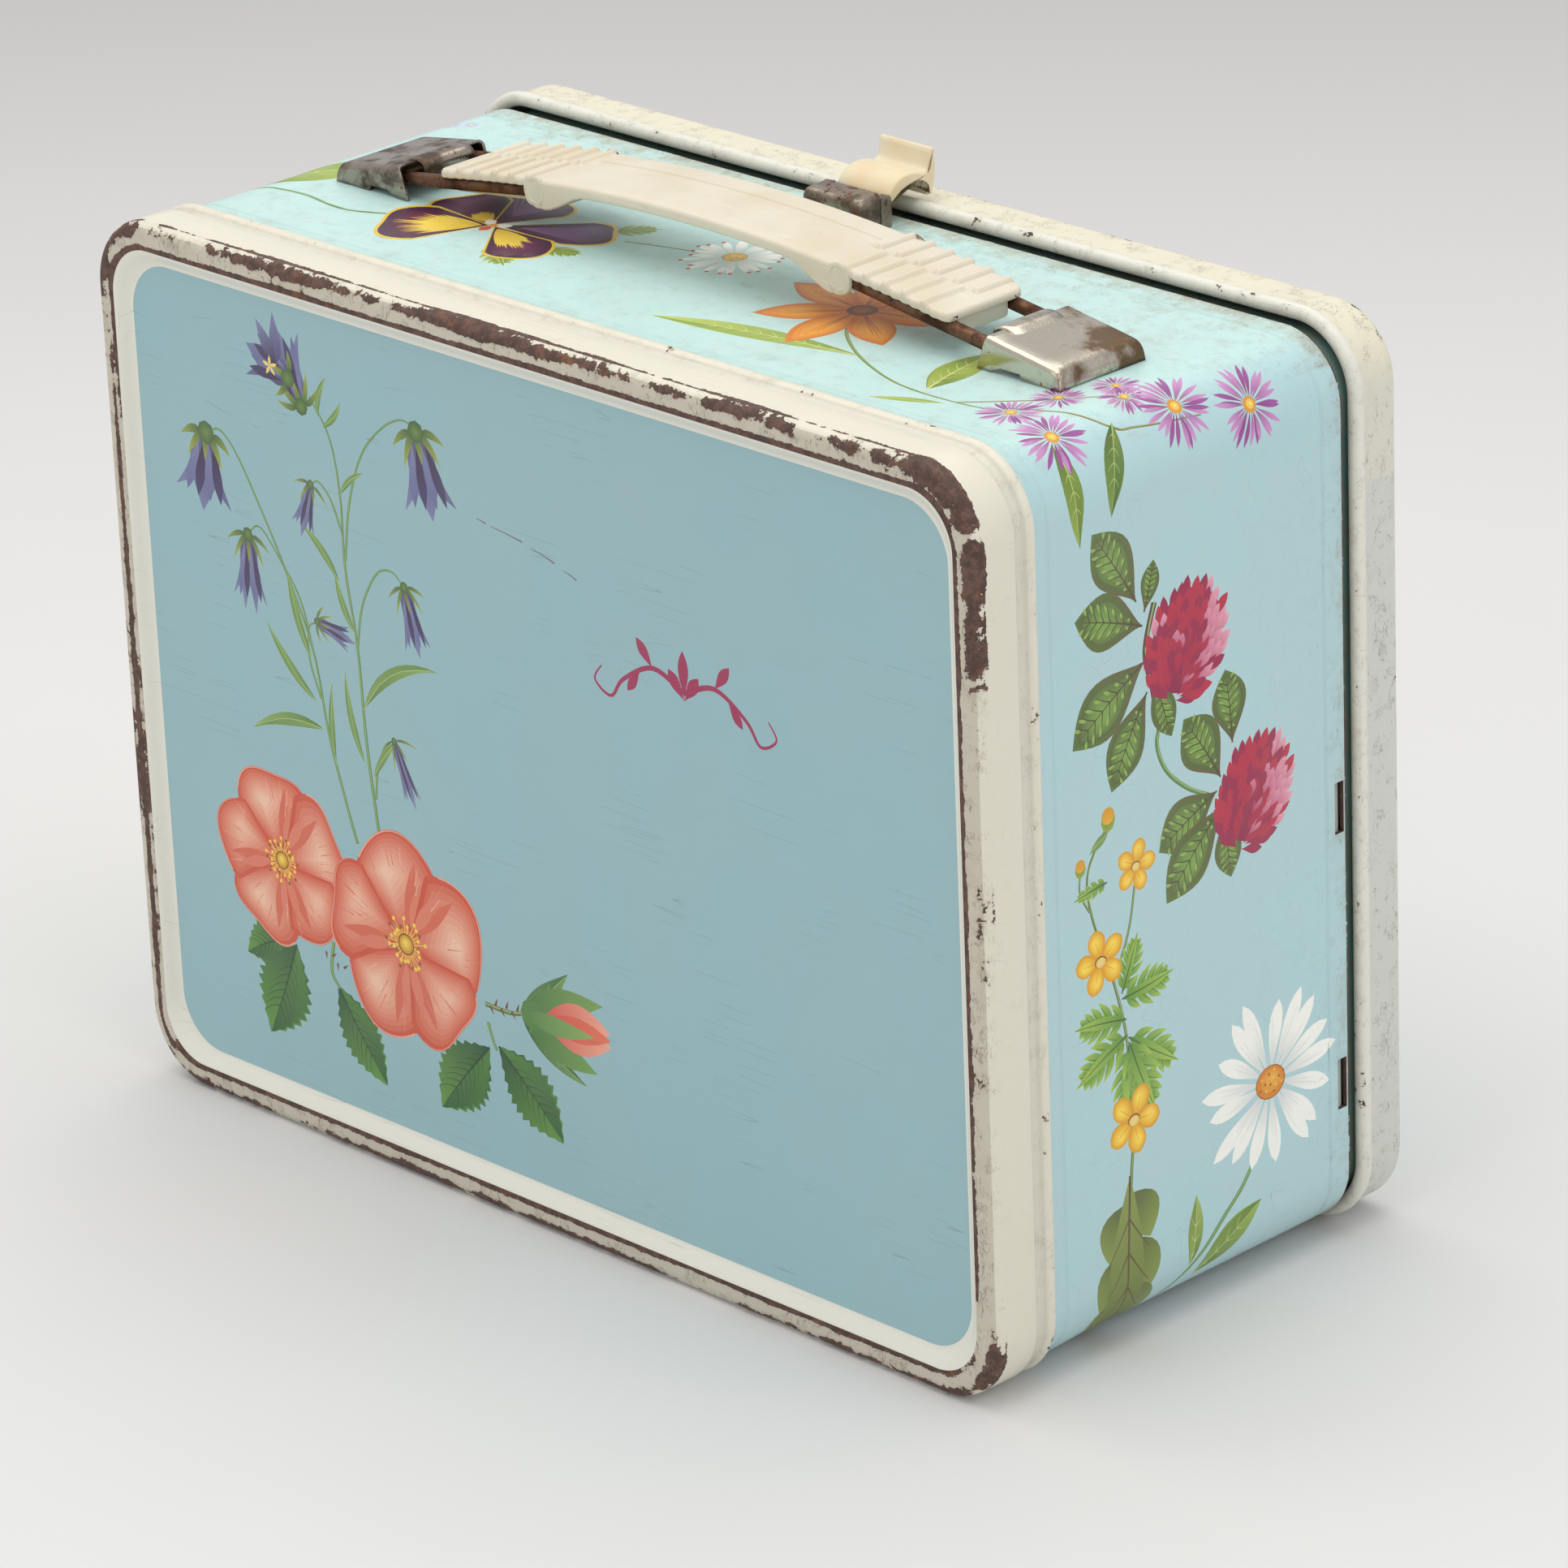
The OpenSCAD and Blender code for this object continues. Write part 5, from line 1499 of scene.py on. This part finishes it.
def cheeks(material):
    """The two ears behind the bracket's roof that hold the latch's pin."""
    outline = [(31.0, 0.0), (34.0, 0.0), (34.0, 5.2), (33.6, 5.75), (33.0, 5.95), (31.6, 6.5), (31.0, 6.5)]
    for s in (-1, 1):
        verts, n = [], len(outline)
        for x in (7.0, 6.56):
            verts += [(s * x, y, BAND_TOP + z) for y, z in outline]
        faces = [tuple(range(n)), tuple(range(2 * n - 1, n - 1, -1))]
        faces += [(k, (k + 1) % n, n + (k + 1) % n, n + k) for k in range(n)]
        simple("latch_ear_%s" % ("left" if s < 0 else "right"), verts, faces, "box", material, (),
               bevel=0.12)


def latch(material):
    top_line = curve([(33.6, 172.3), (33.55, 173.6), (34.2, 174.7), (35.6, 175.9), (37.4, 176.65),
                      (39.4, 176.8), (41.4, 176.5), (42.9, 176.0), (43.9, 176.5), (44.35, 177.8),
                      (44.6, 179.0)], 4)
    tab = [(44.8, 179.8), (45.15, 180.08), (45.6, 179.95), (45.86, 179.4)]
    back = curve([(45.92, 178.0), (45.9, 176.0), (45.7, 174.4), (45.3, 172.9), (45.05, 171.75)], 3)
    foot = [(44.7, 171.5), (44.0, 171.46), (43.65, 171.6)]
    under = curve([(43.62, 172.4), (43.4, 173.3), (42.4, 174.15), (40.6, 174.5), (38.6, 174.2),
                   (36.8, 173.5), (35.2, 172.4), (34.2, 171.9)], 3)
    outline = top_line + tab + back + foot + under
    verts, n = [], len(outline)
    offsets = []
    for i in range(n):
        a, b = outline[i - 1], outline[(i + 1) % n]
        d = math.hypot(b[0] - a[0], b[1] - a[1]) or 1
        offsets.append(((b[1] - a[1]) / d, -(b[0] - a[0]) / d))
    rows = []
    for k in range(6):
        a = 90 * k / 5
        rows.append((6.5 - 0.7 + 0.7 * math.cos(math.radians(90 - a)),
                     0.7 * (1 - math.sin(math.radians(90 - a)))))
    rows = [(-x, i) for x, i in rows[::-1]] + rows
    for x, inward in rows:
        for (y, z), (oy, oz) in zip(outline, offsets):
            verts.append((x, y + oy * inward * 0.75, z + oz * inward * 0.75))
    faces = grid(len(rows), n, True) + [tuple(range(n)), tuple(range((len(rows) - 1) * n, len(rows) * n))]
    return simple("latch", verts, faces, "latch", material, ["latch_lever"], sharp=60)


def tube(name, path, radius, body, material, nodes=(), corner=2.0):
    """A wire along a path of points in mm, with rounded corners and rounded ends."""
    pts, sides = [Vector(path[0])], 16
    for i in range(1, len(path) - 1):
        a, b, c = (Vector(path[j]) for j in (i - 1, i, i + 1))
        r = min(corner, (a - b).length * 0.45, (c - b).length * 0.45)
        p, q = b + (a - b).normalized() * r, b + (c - b).normalized() * r
        for k in range(9):
            t = k / 8
            pts.append(p.lerp(b, t).lerp(b.lerp(q, t), t))
    pts.append(Vector(path[-1]))
    verts, up = [], None
    for i, q in enumerate(pts):
        d = (pts[min(i + 1, len(pts) - 1)] - pts[max(i - 1, 0)]).normalized()
        if up is None:
            up = d.orthogonal().normalized()
        up = (up - d * up.dot(d)).normalized()
        side = d.cross(up)
        last = len(pts) - 1
        circles = [(0, 1.0)]
        if i == 0:
            circles = [(-0.0, 0.02), (0.05, 0.6), (0.2, 0.88), (0.5, 1.0)]
        elif i == last:
            circles = [(-0.5, 1.0), (-0.2, 0.88), (-0.05, 0.6), (0.0, 0.02)]
        for shift, k in circles:
            for j in range(sides):
                a = 2 * math.pi * j / sides
                verts.append(q + d * shift * radius + (up * math.cos(a) + side * math.sin(a)) * radius * k)
    m = len(verts) // sides
    faces = grid(m, sides, True) + [tuple(range(sides)), tuple(range((m - 1) * sides, m * sides))]
    return simple(name, verts, faces, body, material, nodes, sharp=60)


def wires(material):
    cross = (79.5, BAND_TOP + 2.4)
    for s, name in ((-1, "left"), (1, "right")):
        path = [(s * BOSS_X, HAND_Y - 2.4, BOSS_Z), (s * BOSS_X, HAND_Y - 7.8, BOSS_Z),
                (s * cross[0], HAND_Y - 7.8, cross[1]), (s * cross[0], HAND_Y + 7.8, cross[1]),
                (s * BOSS_X, HAND_Y + 7.8, BOSS_Z), (s * BOSS_X, HAND_Y + 2.4, BOSS_Z)]
        tube("link_" + name, path, 1.3, "link_" + name, material, ["handle_link_" + name],
             corner=1.6)
    x, y = BAIL_X, BAIL_Y
    path = [(x, y, 27.5), (x, y, 36.7), (43.4, y, 36.7), (43.4, y, 77.3), (x, y, 77.3), (x, y, 86.5)]
    tube("bail", path, 1.1, "bail", material, ["bottle_bail"], corner=3.0)


def eyes(material):
    """The two loops lanced inward from the right wall, which the bail turns in."""
    for k, z in enumerate(EYE_Z):
        verts = []
        section = [(107.6, -1.9), (105.5, -1.9)] + [(BAIL_X + q[0], q[1])
                                                    for q in (polar(a, 1.9) for a in range(-75, -286, -15))]
        section += [(105.5, 1.9), (107.6, 1.9), (107.6, 1.3), (105.5, 1.3)]
        section += [(BAIL_X + q[0], q[1]) for q in (polar(a, 1.25) for a in range(-286, -74, 15))]
        section += [(105.5, -1.3), (107.6, -1.3)]
        n = len(section)
        for h in (-3.5, 3.5):
            verts += [(x, BAIL_Y + y, z + h) for x, y in section]
        faces = [tuple(range(n)), tuple(range(2 * n - 1, n - 1, -1))]
        faces += [(j, (j + 1) % n, n + (j + 1) % n, n + j) for j in range(n)]
        simple("bail_eye_%d" % (k + 1), verts, faces, "box", material, (), bevel=0.1)


# ------------------------------------------------------------------ hardware materials
def plastic(name, base, stain, dirt):
    g = Graph(name)
    tone = g.mix(g.step(g.noise(18, 3), 0.35, 0.7), base, stain)
    fine = g.noise(0.8, 4, 0.7, shift=4)
    grit = g.mul(g.step(fine, 0.62, 0.72), g.step(g.noise(9, 3, shift=12), 0.5, 0.62))
    tone = g.mix(g.mul(grit, 0.45), tone, dirt)
    ao = g.new("ShaderNodeAmbientOcclusion", samples=4)
    ao.inputs["Distance"].default_value = 1.6 * MM
    crevice = g.step(ao.outputs["AO"], 0.72, 0.30)
    crevice = g.mul(crevice, g.step(g.noise(3, 4, 0.65, shift=33), 0.35, 0.6, 0.25, 1.0))
    tone = g.mix(g.mul(crevice, 0.42), tone, dirt)
    scuff = g.noise(1.0, 2, 0.5, vec=g.turn(g.mm, (0, 12, 8), (0.05, 1.4, 1.4)))
    scuff = g.mul(g.step(scuff, 0.62, 0.68), g.step(g.noise(16, 2, shift=8), 0.5, 0.62))
    tone = g.mix(g.mul(scuff, 0.18), tone, (255, 252, 240))
    rough = g.step(g.noise(7, 3, shift=21), 0.3, 0.7, 0.36, 0.52)
    normal = g.bump(g.add(g.noise(1.4, 3, shift=2), g.mul(scuff, 0.6)), 0.03)
    return g.done(tone, rough, normal, Subsurface_Weight=0.12, Subsurface_Scale=0.002, IOR=1.49)


def metal(name, bright, tarnish, rust, how_rusty=0.5, how_dark=0.5, gloss=0.22, shade_x=None):
    """Plated steel. how_dark and how_rusty set how much of it is tarnished and rusted. Its dark patches are
    partly tarnish and partly painted reflection: darker plating standing in for a room mirrored in it.
    """
    g = Graph(name)
    # dark patches on the plating: partly tarnish, partly painted reflection
    dark = g.noise(7, 5, 0.62)
    if shade_x:
        # painted reflection and tarnish: shade_x makes the dark patches grow along x, and darker toward the
        # rear along y
        x, y, _ = g.axes(g.mm)
        dark = g.add(dark, g.step(x, shade_x[0], shade_x[1], 0.0, shade_x[2]))
        dark = g.add(dark, g.step(y, -7.0, 8.0, -0.10, 0.14))
    dark = g.step(dark, 0.72 - 0.4 * how_dark, 0.92 - 0.4 * how_dark)
    spots = g.add(g.mul(g.noise(3.2, 5, 0.7, shift=9), 0.7), g.mul(g.noise(0.7, 3, 0.65, shift=19), 0.3))
    spots = g.step(spots, 0.66 - 0.2 * how_rusty, 0.72 - 0.2 * how_rusty)
    grain = g.noise(0.35, 3, 0.6, shift=5)
    tone = g.mix(dark, bright, tarnish)
    tone = g.mix(g.mul(grain, 0.25), tone, blend(tarnish, (20, 16, 14), 0.4))
    flake = g.mix(g.step(g.noise(0.9, 4, 0.7, shift=15), 0.4, 0.65), blend(rust, (40, 24, 18), 0.55), rust)
    tone = g.mix(spots, tone, flake)
    rough = g.add(g.step(dark, 0, 1, gloss, gloss + 0.25), g.mul(spots, 0.45), clamp=True)
    metal_share = g.sub(1.0, g.mul(spots, 0.92))
    brushed = g.noise(1.0, 3, 0.5, vec=g.turn(g.mm, (0, 0, 0), (0.08, 2.2, 2.2)))
    height = g.add(g.mul(spots, 0.8), g.mul(grain, 0.3))
    height = g.add(height, g.mul(brushed, 0.2))
    return g.done(tone, rough, g.bump(height, 0.05), metal_share)


# ------------------------------------------------------------------ stage
def stage():
    bpy.ops.mesh.primitive_plane_add(size=1)
    floor = bpy.context.object
    floor.name = "floor"
    floor.scale = (14, 14, 1)
    g = Graph("floor_paper_painted_falloff")
    x, y, _ = g.axes(g.scale(g.new("ShaderNodeTexCoord").outputs["Object"], (14, 14, 0)))
    near = g.mix(g.noise(9, 3), (217, 216, 215), (222, 221, 220))
    # painted light falloff: the floor's grey darkens toward the back and the left
    along = g.sub(g.mul(y, 0.77), g.mul(x, 0.64))
    tone = g.mix(g.step(along, 0.10, 1.05), near, (176, 175, 174))
    floor.data.materials.append(g.done(tone, 0.9))
    scene.view_settings.view_transform = "Standard"
    scene.view_settings.look = "None"
    world = bpy.data.worlds.new("sky")
    scene.world = world
    world.use_nodes = True
    world.node_tree.nodes["Background"].inputs[0].default_value = (0.95, 0.97, 1.0, 1)
    world.node_tree.nodes["Background"].inputs[1].default_value = 0.69
    for name, place, size, power, tint in (("key", (-0.16, 0.06, 1.35), 1.7, 13.2, (1, 0.965, 0.895)),
                                           ("front", (-0.1, -1.8, 0.9), 1.4, 4.2, (1, 0.99, 0.98)),
                                           ("side", (1.9, 0.2, 0.9), 1.8, 7.8, (1, 0.99, 0.98))):
        data = bpy.data.lights.new(name, "AREA")
        data.size, data.energy, data.color = size, power, tint
        ob = bpy.data.objects.new(name, data)
        scene.collection.objects.link(ob)
        ob.location = place
        ob.rotation_euler = (Vector((0, 0, 0.08)) - Vector(place)).to_track_quat("-Z", "Y").to_euler()


make_camera()
stage()
paint = paint_material("enamel")
ivory = plastic("ivory_plastic", (217, 209, 190), (211, 199, 175), (140, 108, 74))
cream_plastic = plastic("latch_plastic", (228, 218, 192), (222, 200, 158), (190, 130, 70))
clip_right_metal = metal("clip_plate_right", (214, 205, 188), (116, 94, 72), (176, 106, 56), 0.36, 0.44,
                         0.17, (77.0, 90.0, 0.14))
clip_left_metal = metal("clip_plate_left", (176, 163, 150), (96, 80, 68), (120, 76, 52), 0.34, 0.72, 0.24)
bracket_metal = metal("bracket_plate", (172, 160, 146), (108, 92, 78), (122, 66, 44), 0.7, 0.7, 0.32)
wire_metal = metal("rusty_wire", (124, 92, 72), (84, 58, 44), (112, 68, 46), 0.72, 0.8, 0.42)
hinge_metal = metal("hinge_plate", (176, 168, 156), (98, 88, 76), (128, 78, 50), 0.5, 0.6, 0.35)
front_cap(paint)
band(paint)
lid(paint)
grip(ivory)
latch(cream_plastic)
clip(-1, clip_left_metal)
clip(1, clip_right_metal)
bracket(bracket_metal)
cheeks(bracket_metal)
wires(wire_metal)
eyes(paint)
hinge_nodes = ["hinge_%s_%s" % (part, side) for part in ("leaf_body", "leaf_lid", "pin")
               for side in ("left", "right")]
for node in ["latch_pin", "body_rivets", "lid_rivets"] + hinge_nodes:
    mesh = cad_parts[node].data
    mesh.materials.clear()
    mesh.materials.append(bracket_metal if node == "latch_pin" else hinge_metal)
